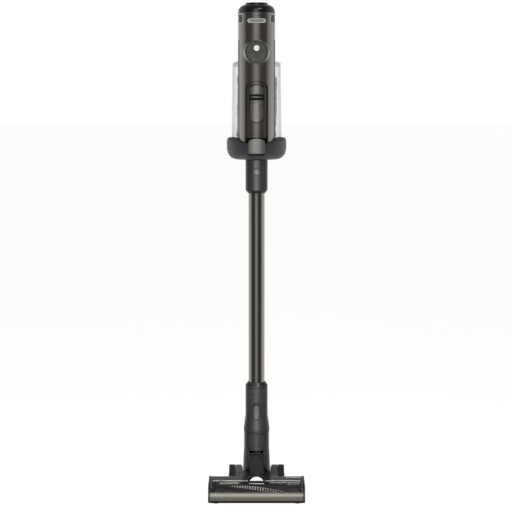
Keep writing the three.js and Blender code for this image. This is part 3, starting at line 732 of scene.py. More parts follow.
def piece(name, mesh, paint, stands_for=None, body=None, slot=None, **rounding):
    """A finished piece, from a mesh in millimetres about the wand's axis. It rides on its node's body."""
    mesh.transform(Matrix.Translation((0, AXIS_Y / 1000, 0)) @ Matrix.Scale(0.001, 4))
    mesh.materials.clear()
    o = bpy.data.objects.new(name, mesh)
    bpy.context.scene.collection.objects.link(o)
    smooth(o, **rounding)
    o.data.materials.clear()
    o.data.materials.append(paint)
    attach(o, body or BODY_OF[stands_for])
    if stands_for:
        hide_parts(stands_for)
    return o


# ---------------------------------------------------------------- floor head
HALF = 110
HEAD_SPAN = (GAP - HALF, HALF - GAP)
FRONT, REAR = -89, -2
TRAY, HOOD = 12.5, 45
WINDOW_REAR = -42
BAY_HALF, BAY_FRONT = 42, -24
BRUSH_AXIS = (-52, 20)
WHEEL_AXIS = (70, 25)


def hood_outline(inset):
    front, roof, rear = FRONT + 1 + inset, HOOD - inset, REAR - inset
    low = 3 if inset > 0 else TRAY
    return clean(
        [(front, low)]
        + bezier((front, TRAY + 1), (front, 30), (-72 + inset / 2, roof - 1.5), (-46, roof - 1.5), 40)
        + [(-14, roof)]
        + quad((-14, roof), (rear, roof), (rear, roof - 9), 16)
        + [(rear, low)]
    )


def hood_shell(wall=2.5):
    return cut(prism("x", hood_outline(0), HEAD_SPAN), prism("x", hood_outline(wall), WIDE))


piece("window_shell", common(hood_shell(2.2), in_front(WINDOW_REAR)), SMOKE, "brush_window", bevel=0.5)

scoop_slope = [(-47, 44.2), (-22, 36.3)]
scoop = prism("x", scoop_slope + [(-22, 60), (-47, 60)], (-18, 18))
scoop = join(scoop, prism("y", [(-18, 46), (-15, 60), (15, 60), (18, 46)], (-47, -22)))
under = prism("x", [(-44, 43.2), (-24.3, 37), (-24.3, 34.4), (-44, 40.6)], (-20.5, 20.5))
bay = block((-BAY_HALF, BAY_HALF), (BAY_FRONT, FAR), TALL)
rear_wall = block((-BAY_HALF, BAY_HALF), (BAY_FRONT - 2.5, BAY_FRONT - GAP), (32, HOOD - 1.4))
outer_hood = prism("x", hood_outline(0), WIDE)
cover = cut(common(hood_shell(), behind(WINDOW_REAR + GAP)), bay)
cover = join(cover, common(rear_wall, outer_hood), common(under, behind(WINDOW_REAR + GAP)))
for side in (1, -1):
    flank = block(span(side, BAY_HALF, BAY_HALF + 2.5), (BAY_FRONT - 2.5, FAR), TALL)
    cover = join(cover, common(flank, outer_hood))
cover = cut(cover, scoop)
piece("top_cover", cover, DARK, "head_top_cover", bevel=0.6)

tray = block(HEAD_SPAN, (FRONT + 2.5, REAR - GAP), (3, 6))
rail = block(HEAD_SPAN, (FRONT + 2.5, -75), (3, TRAY - 0.5))
chassis = join(tray, rail, block((-98, 98), (-29.8, -27.8), (3, 31)))
for side in (1, -1):
    chassis = join(chassis, block(span(side, 99, 104), (-66, -30), (3, 34)))
chassis = join(chassis, block(HEAD_SPAN, (REAR - GAP - 2.4, REAR - GAP), (3, TRAY - GAP)))
chassis = cut(
    chassis,
    block((-BAY_HALF, BAY_HALF), (BAY_FRONT - GAP, FAR), TALL),
    block((-98.8, 98.8), (-73, -31), (-10, 12)),
)
for side in (1, -1):
    chassis = cut(
        chassis,
        rod("x", 8.3, span(side, 90, 109), BRUSH_AXIS, COARSE),
        block(span(side, 90.4, 101.6), (-85.6, -76.4), (-10, 9)),
        block(span(side, 88.4, 103.6), (-82.7, -79.3), (-10, 6)),
    )
piece("chassis_tray", chassis, MATTE, "head_chassis", bevel=0.4)

bumper = [(FRONT, 4), (FRONT, 8.3), (FRONT + 0.3, 8.6), (FRONT + 2.2, 8.6), (FRONT + 2.2, 3), (FRONT + 1, 3)]
piece("bumper_strip", prism("x", rounded(bumper, 0.4, 3), HEAD_SPAN), BUMPER, "front_bumper", bevel=0)
lip = clean([(FRONT + 2.2, 8.9), (FRONT, 8.9)] + bezier((FRONT, 9.4), (FRONT, 11.4), (FRONT + 0.7, 12.2),
                                                      (FRONT + 2.2, 12.2), 12))
lip = prism("x", lip, HEAD_SPAN)
piece("bumper_lip", lip, GRAPHITE, body="floor_head", bevel=0.15, slot="graphite")
# Painted highlight: light grey rods along the top rear edges of the window, where that edge catches the
# light.
rims = []
for side in (1, -1):
    rims.append(rod("x", 1.05, span(side, 21, 104), (WINDOW_REAR - 0.9, 43.2), 24))
piece("window_edge_highlight", bundle(rims), PLATE, body="floor_head", bevel=0.2, slot="silver")
housing = prism("y", rounded([(-88, 38.6), (-42, 38.6), (-42, 40.3), (-88, 40.3)], 0.5, 3), (-54, -43.6))
housing = join(housing, prism("y", [(-56, 40), (-46, 40), (-46, 41.1), (-56, 41.1)], (-50, -43.6)))
piece("window_carrier", housing, IVORY, body="floor_head", bevel=0.3, slot="white")
combs = [block((74 + 4.2 * k, 75.6 + 4.2 * k), (-60, -44), (38.4, 40.0)) for k in range(7)]
combs.append(block((30, 103), (-45.4, -43.4), (38.4, 40.4)))
piece("window_combs", bundle(combs), IVORY, body="floor_head", bevel=0.2, slot="white")
# Painted highlight: a light grey strip on the right of the cover's roof, where the roof catches the light.
highlight_strip = prism("x", [(-22.5, 44.8), (-17.5, 44.95), (-17.5, 45.35), (-22.5, 45.2)], (70, 106))
piece("cover_highlight_strip", highlight_strip, PLATE, body="floor_head", bevel=0.15, slot="silver")


def end_cap(side):
    outline = clean(
        rounded([(FRONT + 3, 2.5), (REAR - 2, 2.5), (REAR + 1, 6), (REAR + 1, 38)], [0, 1, 2, 0], 4, (0, 3))
        + quad((REAR + 1, 38), (REAR + 1, HOOD + 1), (-14, HOOD + 1), 16)
        + bezier((-46, HOOD - 0.5), (-73, HOOD - 0.5), (FRONT, 31), (FRONT, 13), 40)
        + [(FRONT, 6)]
    )
    cap = prism("x", outline, span(side, HALF, HALF + 4))
    inner = [(y * 0.80 - 8.6, z * 0.80 + 4.3) for y, z in outline]
    groove = cut(
        prism("x", inner, span(side, HALF + 3.3, HALF + 6)),
        prism("x", [(y * 0.96 - 1.9, z * 0.96 + 0.9) for y, z in inner], span(side, HALF + 2, HALF + 7)),
    )
    return cut(cap, groove)


def tread(r, a):
    """Thirty-six notches round the tyre, cut in its outer face only."""
    return r - 0.5 * max(0.0, math.sin(a * 36)) ** 0.5 if r > 24.5 else r


for side, word in SIDES:
    piece(f"cheek_{word}", end_cap(side), DARK, f"end_cap_{word}", bevel=1.1, segments=3)
    tyre = [(4.0, 52.9), (7.5, 52.6), (7.8, 54.3), (14.5, 54.3), (15.4, 53.2), (16.2, 52.5), (22.6, 52.5)]
    tyre += [(24.0, 53.0), (25, 54.4), (25, 65.6), (24.0, 67.0), (22.6, 67.5), (16.2, 67.5), (15.4, 66.8)]
    tyre += [(14.5, 65.7), (7.8, 65.7), (7.5, 67.4), (4.0, 67.1)]
    wheel = turn_to(lathe(tyre, steps=144, wobble=tread), "x", WHEEL_AXIS, side)
    piece(f"wheel_{word}", wheel, RUBBER, f"rear_wheel_{word}", bevel=0.25, shade=35)
    hub = lathe([(3.6, 66.4), (12.6, 66.4), (13.2, 65.8), (13.2, 65.1), (3.6, 65.1)], steps=COARSE)
    hub = turn_to(hub, "x", WHEEL_AXIS, side)
    piece(f"wheel_hub_{word}", hub, GLOSS, body=f"rear_wheel_{word}", bevel=0.15, slot="gloss_black")
    outline = rounded(
        [(REAR + GAP, 8), (58, 10), (66, 12), (82, 18), (84, 25), (82, 40), (74, 50), (64, 50), (54, 36),
         (REAR + GAP, 34)],
        [1, 6, 6, 5, 6, 6, 5, 6, 8, 3], 6,
    )
    beam = prism("x", outline, span(side, 34, 52))
    chamfer = prism("y", [(side * x, z) for x, z in ((34, 42), (44, 60), (20, 60), (20, 42))], (-10, FAR))
    bore = rod("x", 3.5, span(side, 30, 60), WHEEL_AXIS, COARSE)
    beam = cut(beam, chamfer, bore)
    piece(f"bracket_{word}", beam, BRACKET, f"wheel_bracket_{word}", bevel=0.9, segments=3)
    axle = rod("x", 3.2, span(side, 36, 69), WHEEL_AXIS, COARSE)
    piece(f"axle_{word}", axle, STEEL, f"rear_axle_{word}", bevel=0.5)
    drum = lathe([(0, 89), (1.2, 89), (1.2, 91), (3.6, 91), (4, 91.5), (4, 100.5), (3.6, 101), (1.2, 101),
                  (1.2, 103), (0, 103)], steps=COARSE)
    drum = turn_to(drum, "x", (-81, 4), side)
    piece(f"roller_{word}", drum, RUBBER, f"front_roller_{word}", bevel=0.1)
    race = lathe([(3.8, 99.2), (8, 99.2), (8, 103.8), (3.8, 103.8)], steps=COARSE)
    groove = lathe([(5.3, 98), (6.6, 98), (6.6, 99.8), (5.3, 99.8)], steps=COARSE)
    race = turn_to(cut(race, groove), "x", BRUSH_AXIS, side)
    piece(f"bearing_{word}", race, MATTE, f"brush_bearing_{word}", bevel=0.15)


def brush_roll():
    sleeve = lathe([(0, -98), (9.2, -98), (9.2, 98), (0, 98)], steps=COARSE)
    shaft = rod("x", 3.5, (-108.5, 105.5), BRUSH_AXIS, COARSE)
    pulley = lathe([(0, -108), (9, -108), (9, -107.4), (8.4, -107.2), (8.4, -105.2), (9, -105), (9, -104.4),
                    (0, -104.4)], steps=COARSE)
    return join(turn_to(sleeve, "x", BRUSH_AXIS), shaft, turn_to(pulley, "x", BRUSH_AXIS))


piece("brush_drum", brush_roll(), DARK, "brush_core", bevel=0.3)

HALF_BRUSH = 96.5
BRUSH_TURNS = 1.0


def brush_point(x, radius, angle):
    turn = (x + HALF_BRUSH) / (2 * HALF_BRUSH) * math.pi * BRUSH_TURNS + angle
    return (x, BRUSH_AXIS[0] + radius * math.cos(turn), BRUSH_AXIS[1] + radius * math.sin(turn))


def tuft_row(angle, seed, along=190, thick=0.36, fibres=4, tip=17.6):
    """Rows of tapered fibres, standing out of the drum along a winding line."""
    rng = random.Random(seed)
    points, faces = [], []
    for k in range(along):
        x = -HALF_BRUSH + 2 * HALF_BRUSH * (k + 0.5) / along
        for f in range(fibres):
            a0 = angle + rng.uniform(-0.10, 0.10)
            lean = rng.uniform(-0.05, 0.05)
            dx = rng.uniform(-0.5, 0.5)
            reach = tip - rng.uniform(0.0, 1.2)
            base = len(points)
            for r, spread in ((10.4, thick), (0.55 * (10.4 + reach), thick * 0.85), (reach, thick * 0.35)):
                t = (r - 10.4) / (reach - 10.4)
                for q in range(3):
                    qa = q * 2.094
                    points.append(
                        brush_point(
                            x + dx * t + spread * math.cos(qa), r, a0 + lean * t + spread * math.sin(qa) / r
                        )
                    )
            for level in (0, 3):
                for q in range(3):
                    b, c = base + level + q, base + level + (q + 1) % 3
                    faces.append((b, c, c + 3, b + 3))
            faces.append((base, base + 2, base + 1))
            faces.append((base + 6, base + 7, base + 8))
    return mesh_from(points, faces)


def brush_ribbon(angle, inner, outer, half, along=180):
    """A solid winding strip on the drum."""
    points = []
    for k in range(along + 1):
        x = -HALF_BRUSH + 2 * HALF_BRUSH * k / along
        for r, a in ((inner, -half), (outer, -half * 0.7), (outer, half * 0.7), (inner, half)):
            points.append(brush_point(x, r, angle + a))
    return mesh_from(points, band(along, 4) + [(0, 1, 2, 3), tuple(4 * along + q for q in range(4))])


for k, offset in enumerate((0.30, 0.62, 0.94, 3.9)):
    ribbon = brush_ribbon(offset, 10.7, 13.4, 0.085)
    piece(f"brush_ribbon_{k + 1}", ribbon, RIBBED, body="brush_roll", bevel=0.2, slot="white")
for k in range(4):
    paint = PALE if k % 2 else NYLON
    tufts = tuft_row(k * math.pi / 2, 11 + k)
    piece(f"bristle_row_{k + 1}", tufts, paint, body="brush_roll", bevel=0, slot="bristle")

motor = lathe([(0, -97), (7, -97), (7, -96), (10.4, -96), (11, -95.4), (11, -84), (10.6, -83.6), (10.6, -63),
               (11, -62.6), (11, -50.6), (10.4, -50), (0, -50)], steps=COARSE)
piece("brush_motor_can", turn_to(motor, "x", (-16, 24)), IVORY, "brush_motor", bevel=0.2)

web = rounded([(26, 35), (32, 35), (32, 46), (30, 47.5), (27.5, 47.5), (26, 46)], 1.2, 4)
web = prism("x", web, (-34, 34))
for side in (1, -1):
    web = join(web, block(span(side, 19.5, 34), (26.3, 31.7), (22, 40)))
piece("bracket_web", web, BRACKET, body="floor_head", bevel=0.4, slot="dark_grey")

# Cradle and swivel arch
cradle = join(
    block((-33.5, 33.5), (-23.8, 14), (3, 10.5)),
    block((22, 33.5), (-23.8, 14), (3, 36)),
    block((-33.5, -22), (-23.8, 14), (3, 36)),
)
track = common(rod("y", 25.0, WIDE, STEER_AXIS), block(WIDE, WIDE, (10.5, 80)))
piece("cradle", cut(cradle, track), DARK, "swivel_cradle", bevel=1.0, segments=3)

ring = common(tube("y", 24.7, 18, (-23.5, 14), STEER_AXIS), block(WIDE, WIDE, (29, FAR)))
tongue = prism("y", arch_shape(17.4, 46, 106, 12), (-15, 14))
elbow = cut(
    join(ring, tongue),
    rod("y", 18, WIDE, STEER_AXIS),
    rod("z", 9, (58, FAR), AXIS, COARSE),
    rod("x", 4.1, WIDE, TILT_AXIS, COARSE),
)
elbow = cut(elbow, block((-9.5, 9.5), (-FAR, -14.2), (84, 99)))
piece("elbow_arch", elbow, GLOSS, "swivel_arch", bevel=0.9, segments=3)
for side, word in SIDES:
    piece(f"pivot_{word}", rod("x", 3.8, span(side, 11, 31.5), TILT_AXIS, COARSE), STEEL, f"tilt_pin_{word}",
          bevel=0.6)


# ---------------------------------------------------------------- neck
def neck_body():
    profile = [(0, 52), (32.5, 52), (32.5, 62), (31.5, 90), (30, 118), (30, 152), (30.8, 157), (30.8, 163),
               (26.8, 192), (26.5, 204), (26.5, 267), (20.5, 275), (0, 275)]
    profile = rounded(profile, [0, 1.5, 20, 60, 40, 5, 2, 4, 30, 20, 1.5, 0.8, 0], 6, (0, 12))
    side = clean(
        [(-34, 276), (-34, 130), (-26, 96)] + arc(0, 80, 26, 180, 360, 48) + [(26, 96), (34, 130), (34, 276)]
    )
    return common(lathe(profile), prism("x", side, WIDE))


fork = cut(
    neck_body(),
    block((-17.6, 17.6), WIDE, (40, 112)),
    rod("z", 19.3, (236, 300), AXIS),
    rod("z", 16, (100, 300), AXIS),
    cut(prism("y", cup_shape(22.3, 117, 262, 14, 5), (-60, -10)), rod("z", 23.7, TALL, AXIS)),
    prism("y", pill_shape(7.5, 187.5, 227), (-60, -18)),
    rod("x", 4.1, WIDE, TILT_AXIS, COARSE),
)
seam = cut(tube("z", 34, 30.1, (158.6, 159.2), AXIS), block((-22.6, 22.6), (-60, 0), (150, 170)))
fork = join(cut(fork, seam), block((-18, 18), (21, 23), (94, 113)))
piece("fork_body", fork, DARK, "neck_fork", bevel=0.5)

panel = common(neck_body(), prism("y", cup_shape(22, 117.3, 261.7, 14, 5), (-60, -10)))
panel = cut(panel, rod("z", 24, TALL, AXIS), prism("y", pill_shape(8.6, 186.2, 231), (-60, 0)))
piece("front_panel", panel, DARK, "neck_front_panel", bevel=0)

duct = tube("z", 15.7, 13.7, (113, 234), AXIS, COARSE)
piece("air_duct", duct, MATTE, "neck_duct", bevel=0.3)


def crowned_button(outline, back, face, crown, half):
    """A button whose face bulges a little in x."""
    body = prism("y", outline, (face, back))
    r = (half * half + crown * crown) / (2 * crown)
    dome = rod("z", r, TALL, (0, face + r), 160)
    return common(body, dome)


button = crowned_button(pill_shape(7, 188, 221), -21, -28.6, 0.9, 7.0)
ribs = [block((-3.4, 3.4), (-29, -28.2), (z, z + 0.9)) for z in (208, 211, 214)]
button = cut(button, *ribs)
piece("release_button_lower", button, SILVER, "head_release_button", bevel=0.5, segments=3)

wand = lathe([(18.2, 236.3), (19, 237.1), (19, 759.2), (18.2, 760), (17.4, 760), (17.4, 236.3)], steps=160)
piece("wand_pipe", wand, WAND, "wand_tube", bevel=0)

# ---------------------------------------------------------------- upper neck and collar
neck_profile = rounded(
    [(0, 725), (20.5, 725), (26, 732), (26, 802.7), (0, 802.7)], [0, 1.0, 3, 0.6, 0], 6, (0, 4)
)
upper = cut(
    lathe(neck_profile),
    rod("z", 19.3, (700, 760.3), AXIS),
    rod("z", 16, (700, 900), AXIS),
    rod("y", 7.2, (-60, -18.3), LATCH_BUTTON, COARSE),
)
flat = prism("y", arch_shape(9, 783.5, 806, 3, 1.5), (-40, -25.55))
upper = cut(upper, cut(flat, rod("z", 25.55, TALL, AXIS)))
piece("inlet_neck_body", upper, DARK, "inlet_neck", bevel=0.5)

release = lathe([(0, 0), (6.8, 0), (6.8, 6.0), (6.2, 6.7), (0, 6.9)], steps=COARSE)
release = turn_to(release, "y", LATCH_BUTTON)
for v in release.vertices:
    v.co.y = -21.2 - v.co.y * (6.8 / 6.9)
dimple = lathe([(0, 0), (3.6, 0), (4.4, 0.6), (0, 0.6)], steps=COARSE)
dimple = turn_to(dimple, "y", LATCH_BUTTON)
for v in dimple.vertices:
    v.co.y = -28.15 + 0.6 - v.co.y
release = cut(outward(release), outward(dimple))
piece("release_button_upper", release, SILVER, "wand_release_button", bevel=0.3, segments=3)

collar_profile = rounded(
    [(0, 803), (50, 803.3), (60, 807), (67, 816), (70, 828), (70, 846.5), (68.5, 852), (65, 854.5),
     (0, 854.5)],
    [0, 14, 14, 14, 14, 6, 3, 2.5, 0], 7, (0, 8),
)
bowl = lathe(collar_profile, BIN_Y, 160)
bowl = cut(
    bowl,
    prism("x", [(8, 855), (-60, 838), (-60, 900), (8, 900)], WIDE),
    block(WIDE, (55, FAR), (843.5, 900)),
    common(rod("z", 43.5, (845, 900), AXIS), in_front(10.3)),
    common(rod("z", 59.4, (845.6, 900), BIN_AXIS), behind(10)),
    common(rod("z", 52.4, (841.7, 900), BIN_AXIS), block(WIDE, WIDE, (841.7, 846))),
    rod("z", 50, (808, 842), BIN_AXIS),
    rod("z", 18.5, (798, 813), (0, 2)),
    block((-18.7, 18.7), (-FAR, -43.9), (813, 900)),
    block((-18.0, 18.0), (-FAR, -38), (813.4, 817.8)),
)
for side in (1, -1):
    width = span(side, 14.4, 20)
    lug = join(block(width, (79.5, 88.5), (840.5, 850)), rod("x", 4.5, width, HINGE_AXIS, COARSE))
    bowl = join(bowl, lug)
bowl = cut(bowl, rod("x", 2.4, WIDE, HINGE_AXIS, COARSE))
piece("collar_bowl", bowl, MATTE, "bin_collar", bevel=0.9, segments=3)

catch = common(
    prism("y", arch_shape(18.2, 818.3, 853, 8, 1.2), (-60, -44.3)),
    rod("z", 71, TALL, BIN_AXIS, 200),
)
piece("latch_plate", catch, SILVER, "collar_latch", bevel=0.8, segments=3)

# Painted shade: a near-black plate behind the bay under the latch, where that gap lies in shade.
shade = block((-18, 18), (-43.4, -41.0), (813.4, 817.8))
piece("latch_bay_shade", shade, BUMPER, body=BODY_OF["bin_collar"], bevel=0, slot="gloss_black")

floor_disc = cut(rod("z", 52, (842, 845), BIN_AXIS), rod("z", 13, TALL, (0, 28), COARSE))
piece("bin_floor_disc", floor_disc, MATTE, "bin_floor", bevel=0.4)

plate = cut(
    prism("z", rounded([(-38, 13.5), (38, 13.5), (38, 55), (-38, 55)], 4, 5), (845.4, 848.4)),
    rod("z", 13, TALL, (0, 28), COARSE),
)
piece("bag_collar", plate, CARD, "bag_plate", bevel=0.4)


# ---------------------------------------------------------------- dust bag
def dust_bag():
    """A soft fleece bag, partly filled: creased lengthways, slack at the top and flat against the spine."""
    rings, steps = 96, 220
    low, high = 849.0, 1002.0
    points = []
    for k in range(rings + 1):
        t = k / rings
        z = low + (high - low) * t
        body = 46.2 * (1 - 0.75 * max(0, t - 0.93) * 4)
        body *= 1 - 0.16 * math.exp(-((t / 0.035) ** 2)) - 0.5 * math.exp(-(((1 - t) / 0.018) ** 2))
        for i in range(steps):
            a = 2 * math.pi * i / steps
            x0, y0 = math.sin(a), -math.cos(a)
            n1 = noise.noise(Vector((x0 * 2.1, y0 * 2.1, z * 0.021)))
            n2 = noise.noise(Vector((x0 * 5.2 + 7, y0 * 5.2, z * 0.034 + 3)))
            n3 = noise.noise(Vector((x0 * 11 + 3, y0 * 11, z * 0.10 + 9)))
            fold = math.sin(a * 9 + 2.2 * n1 + 0.02 * z) * (0.5 + 0.5 * math.sin(z * 0.045 + a))
            crease = abs(noise.noise(Vector((x0 * 3.1 + 2, y0 * 3.1, z * 0.016 + 5))))
            pinch = abs(noise.noise(Vector((x0 * 1.7 + 11, y0 * 1.7 + z * 0.012, z * 0.05))))
            r = body + 2.6 * n1 + 2.2 * n2 + 1.0 * n3 + 1.5 * fold - 5.0 * max(0, 0.22 - crease) * 2.4
            r -= 4.0 * max(0, 0.14 - pinch) * 3.0
            r = min(r, 49.4)
            x, y = r * x0, BIN_Y + r * y0
            flat = 14.1 + 0.5 * n2
            if y < flat:
                y = flat + 0.02 * (y - flat)
            points.append((x, max(y, 13.6), z + 1.2 * n1 * math.sin(math.pi * t)))
    faces = band(rings, steps)
    for base, z in ((0, low), (rings * steps, high)):
        centre = len(points)
        points.append((0, BIN_Y + 10, z))
        for i in range(steps):
            faces.append((base + i, base + (i + 1) % steps, centre))
    return mesh_from(points, faces)


bag = piece("fleece_bag", dust_bag(), FLEECE, "dust_bag", bevel=0, shade=80)


def bag_seam():
    """The welded rim round the bag's top: a narrow wavy fin."""
    points = []
    steps = 180
    for i in range(steps):
        a = math.pi * (0.56 + 0.88 * i / (steps - 1))
        r = 44.2 + 0.7 * math.sin(9 * a)
        x, y = r * math.sin(a), BIN_Y - r * math.cos(a)
        wave = 0.8 * math.sin(23 * a) + 0.4 * math.sin(41 * a)
        for dr, dz in ((-1.2, -0.5), (2.4, -0.5 + wave), (2.4, 0.5 + wave), (-1.2, 0.5)):
            k = (r + dr) / r
            points.append((x * k, BIN_Y + (y - BIN_Y) * k, 996.5 + dz))
    last = (steps - 1) * 4
    ends = [(0, 1, 2, 3), (last, last + 3, last + 2, last + 1)]
    return mesh_from(points, band(steps - 1, 4) + ends)


piece("bag_weld_seam", bag_seam(), FLEECE, body="hand_unit", bevel=0, shade=60, slot="fleece")


# ---------------------------------------------------------------- bag cover
def bin_volume(inset, roof):
    cone = lathe([(0, 846 - inset), (58.5 - inset, 846 - inset), (56.5 - inset, 1040), (0, 1040)], BIN_Y, 160)
    front = 11.2 - 5 * inset
    start = 180 - math.degrees(math.acos((84 - front) / roof))
    side = clean([(front, 846 - inset), (90, 846 - inset)] + arc(*HINGE_AXIS, roof, 90, start, 40))
    return common(cone, prism("x", side, WIDE))


dome = cut(bin_volume(0, 185), bin_volume(2.2, 182.8))
lug = cut(block((-14, 14), (79, 88), (845.6, 854)), rod("z", 56.3, (840, 860), BIN_AXIS))
pin_hole = rod("x", 2.4, WIDE, HINGE_AXIS, COARSE)
dome = cut(join(dome, lug), rod("z", 15, (1000, 1060), (0, 30), COARSE), pin_hole)
piece("cover_dome", dome, CLEAR, "bin_cover", bevel=0.6, segments=2)
piece("hinge_rod", rod("x", 2.1, (-20, 20), HINGE_AXIS, COARSE), STEEL, "bin_hinge_pin", bevel=0.5)

# ---------------------------------------------------------------- body shells
R, WALL = 43, 2.2
VENT_X, VENT_LOW, VENT_HIGH = 32, 1117.5, 1135


def vent_opening(side, grow=0.0):
    """A window whose inner end is a row of chevrons."""
    pitch = (VENT_HIGH - VENT_LOW) / 3
    teeth = []
    for k in range(3):
        z0 = VENT_LOW + k * pitch
        teeth += [(VENT_X + 1.6 - grow, z0 if k else z0 - grow), (VENT_X - 0.4 - grow, z0 + pitch / 2)]
    teeth.append((VENT_X + 1.6 - grow, VENT_HIGH + grow))
    outline = teeth + [(60, VENT_HIGH + grow), (60, VENT_LOW - grow)]
    return prism("y", [(side * x, z) for x, z in outline], WIDE)


skin = lathe([(R, 845.3), (R, 1140), (R - WALL, 1140), (R - WALL, 845.3)], steps=192)
high = common(skin, block(WIDE, (-FAR, -0.15), (1078, 1500)))
low = common(skin, block(WIDE, (-FAR, -15.8), (0, 1079)))
boss = cut(rod("y", 26.6, (-44.6, -34), CONTROL, 128, 31), rod("z", R - WALL, TALL, AXIS))
front = join(high, low, boss)
front = cut(
    front,
    prism("y", arch_shape(26, 800, 984, 16), (-60, -10)),
    rod("y", 25.4, (-60, -20), CONTROL, 128),
    vent_opening(1),
    vent_opening(-1),
)
piece("shell_front", front, GRAPHITE, "front_shell", bevel=0.45)

back = join(
    common(rod("z", R, (845.3, 1040), AXIS, 192), block(WIDE, (-15.5, 10), TALL)),
    common(rod("z", R, (1034, 1077.7), AXIS, 192), behind(-15.5)),
)
back = cut(
    back,
    common(rod("z", R - WALL, (800, 1037), AXIS), in_front(7.8)),
    rod("z", R - WALL, (1036.5, 1200), AXIS),
    rod("z", 15, (1000, 1060), (0, 24), COARSE),
)
piece("shell_back", back, MATTE, "back_shell", bevel=0.5)

rear = common(lathe([(R, 1078), (R, 1140), (R - WALL, 1140), (R - WALL, 1078)], steps=192), behind(0.15))
rear = cut(rear, vent_opening(1), vent_opening(-1))
piece("shell_motor_rear", rear, GRAPHITE, "motor_rear_shell", bevel=0.45)


def louvre(side):
    skin = tube("z", R - 0.5, 39.5, (VENT_LOW + GAP, VENT_HIGH - GAP), AXIS, 160)
    body = common(skin, vent_opening(side, -0.3))
    low_z = VENT_LOW + GAP
    slots = []
    for row in range(7):
        z = low_z + 1.6 + 2.2 * row
        inner = 41.0 if row % 2 else 33.5
        slots.append(block(span(side, inner, 60), (-26, 26), (z, z + 1.15)))
    shallow = rod("z", 41.3, TALL, AXIS, 96)
    return cut(body, *[cut(s, shallow) for s in slots])


for side, word in SIDES:
    piece(f"vent_grille_{word}", louvre(side), MATTE, f"side_vent_{word}", bevel=0.15)
    trim_skin = tube("z", R + 0.35, R + 0.02, (VENT_LOW - 2, VENT_HIGH + 2), AXIS, 192)
    trim = cut(common(trim_skin, vent_opening(side, 1.3)), vent_opening(side, 0.1), behind(22))
    piece(f"vent_trim_{word}", trim, PLATE, body="hand_unit", bevel=0.1, slot="silver")

def long_oval(half, r):
    """A pill lying on its side at the badge's height."""
    middle = 1120.75
    outline = clean(arc(-half, middle, r, 90, 270, 20) + arc(half, middle, r, 270, 450, 20))
    return prism("y", outline, (-60, 0))


badge = lathe([(R + 0.2, 1116), (R + 1, 1116.2), (R + 1, 1125.3), (R + 0.2, 1125.5)], steps=192)
badge = common(badge, long_oval(16.5, 4.7))
badge_field = lathe([(R + 0.4, 1117.5), (R + 1.0, 1117.5), (R + 1.0, 1124), (R + 0.4, 1124)], steps=192)
badge_field = common(badge_field, long_oval(16.3, 3.1))
piece("badge_plate", cut(badge, badge_field), PLATE, "nameplate", bevel=0.12)
thin = lathe([(R + 0.4, 1117), (R + 0.85, 1117), (R + 0.85, 1124.5), (R + 0.4, 1124.5)], steps=192)
piece("badge_field", common(badge_field, thin), FIELD, body="hand_unit", bevel=0, slot="dark_grey")

# Control disc, with plain raised marks round the power button
disc = cut(rod("y", 25, (-45.2, -38), CONTROL, 160), rod("y", 7.1, (-60, -20), POWER, 96))
dish = lathe([(0, 0), (8.8, 0), (10.0, 1.0), (10.0, 3), (0, 3)], steps=96)
dish = turn_to(dish, "y", POWER)
for v in dish.vertices:
    v.co.y = -44.2 - v.co.y
disc = cut(disc, outward(dish), rod("y", 8.5, (-60, -42.2), POWER, 96))
rim = cut(rod("y", 23.4, (-50, -44.95), CONTROL, 160), rod("y", 22.9, (-50, -40), CONTROL, 160))
disc = cut(disc, rim)
piece("control_face", disc, DISC, "control_disc", bevel=0.5, segments=3)

marks = []
for angle, radius in ((200, 15.5), (222, 17), (246, 17.6), (270, 17.8), (294, 17.6), (318, 17), (340, 15.5)):
    x = radius * math.cos(math.radians(angle))
    z = 1050 + radius * math.sin(math.radians(angle))
    marks.append(rod("y", 1.5, (-45.35, -45.1), (x, z), 24))
for angle in (205, 335):
    x = 9.5 * math.cos(math.radians(angle))
    z = 1047 + 9.5 * math.sin(math.radians(angle))
    marks.append(tube("y", 1.9, 1.35, (-45.35, -45.1), (x, z), 32))
piece("control_marks", bundle(marks), INK, body="hand_unit", bevel=0.05, slot="gloss_black")

cap = lathe([(0, -39), (6.7, -39), (6.7, -45.7), (6.1, -46.4), (5.4, -46.6), (0, -46.6)], steps=96)
cap = turn_to(cap, "y", POWER)
ringlet = cut(rod("y", 3.1, (-48, -46.4), POWER, 64), rod("y", 2.6, (-48, -40), POWER, 64))
piece("power_cap", cut(outward(cap), ringlet), WHITE, "power_button", bevel=0.2)

piece("control_board", block((-20, 20), (-33.4, -31.8), (1002, 1074)), BOARD, "circuit_board", bevel=0.2)

# ---------------------------------------------------------------- motor, filters and cap
blades = [join(rod("z", 10, (1051, 1062), AXIS, COARSE), rod("z", 2.5, (1061, 1065.4), AXIS, 24),
               rod("z", 26, (1051, 1053), AXIS))]
for k in range(9):
    curve = [(9, 0), (14, 1.2), (19, 4.0), (24, 8.4)]
    outline = clean([(x, y) for x, y in curve] + [(x - 0.6, y + 1.4) for x, y in reversed(curve)])
    blade = prism("z", outline, (1052.5, 1060.5))
    blade.transform(Matrix.Rotation(2 * math.pi * k / 9, 4, "Z"))
    blades.append(blade)
wheel = blades[0]
for blade in blades[1:]:
    wheel = join(wheel, blade)
piece("impeller_wheel", wheel, MATTE, "impeller", bevel=0.2)
can = rounded([(0, 1066), (24, 1066), (24, 1106), (0, 1106)], [0, 1.5, 2.5, 0], 5, (0, 3))
piece("motor_case", lathe(can), ALLOY, "motor_can", bevel=0.2)


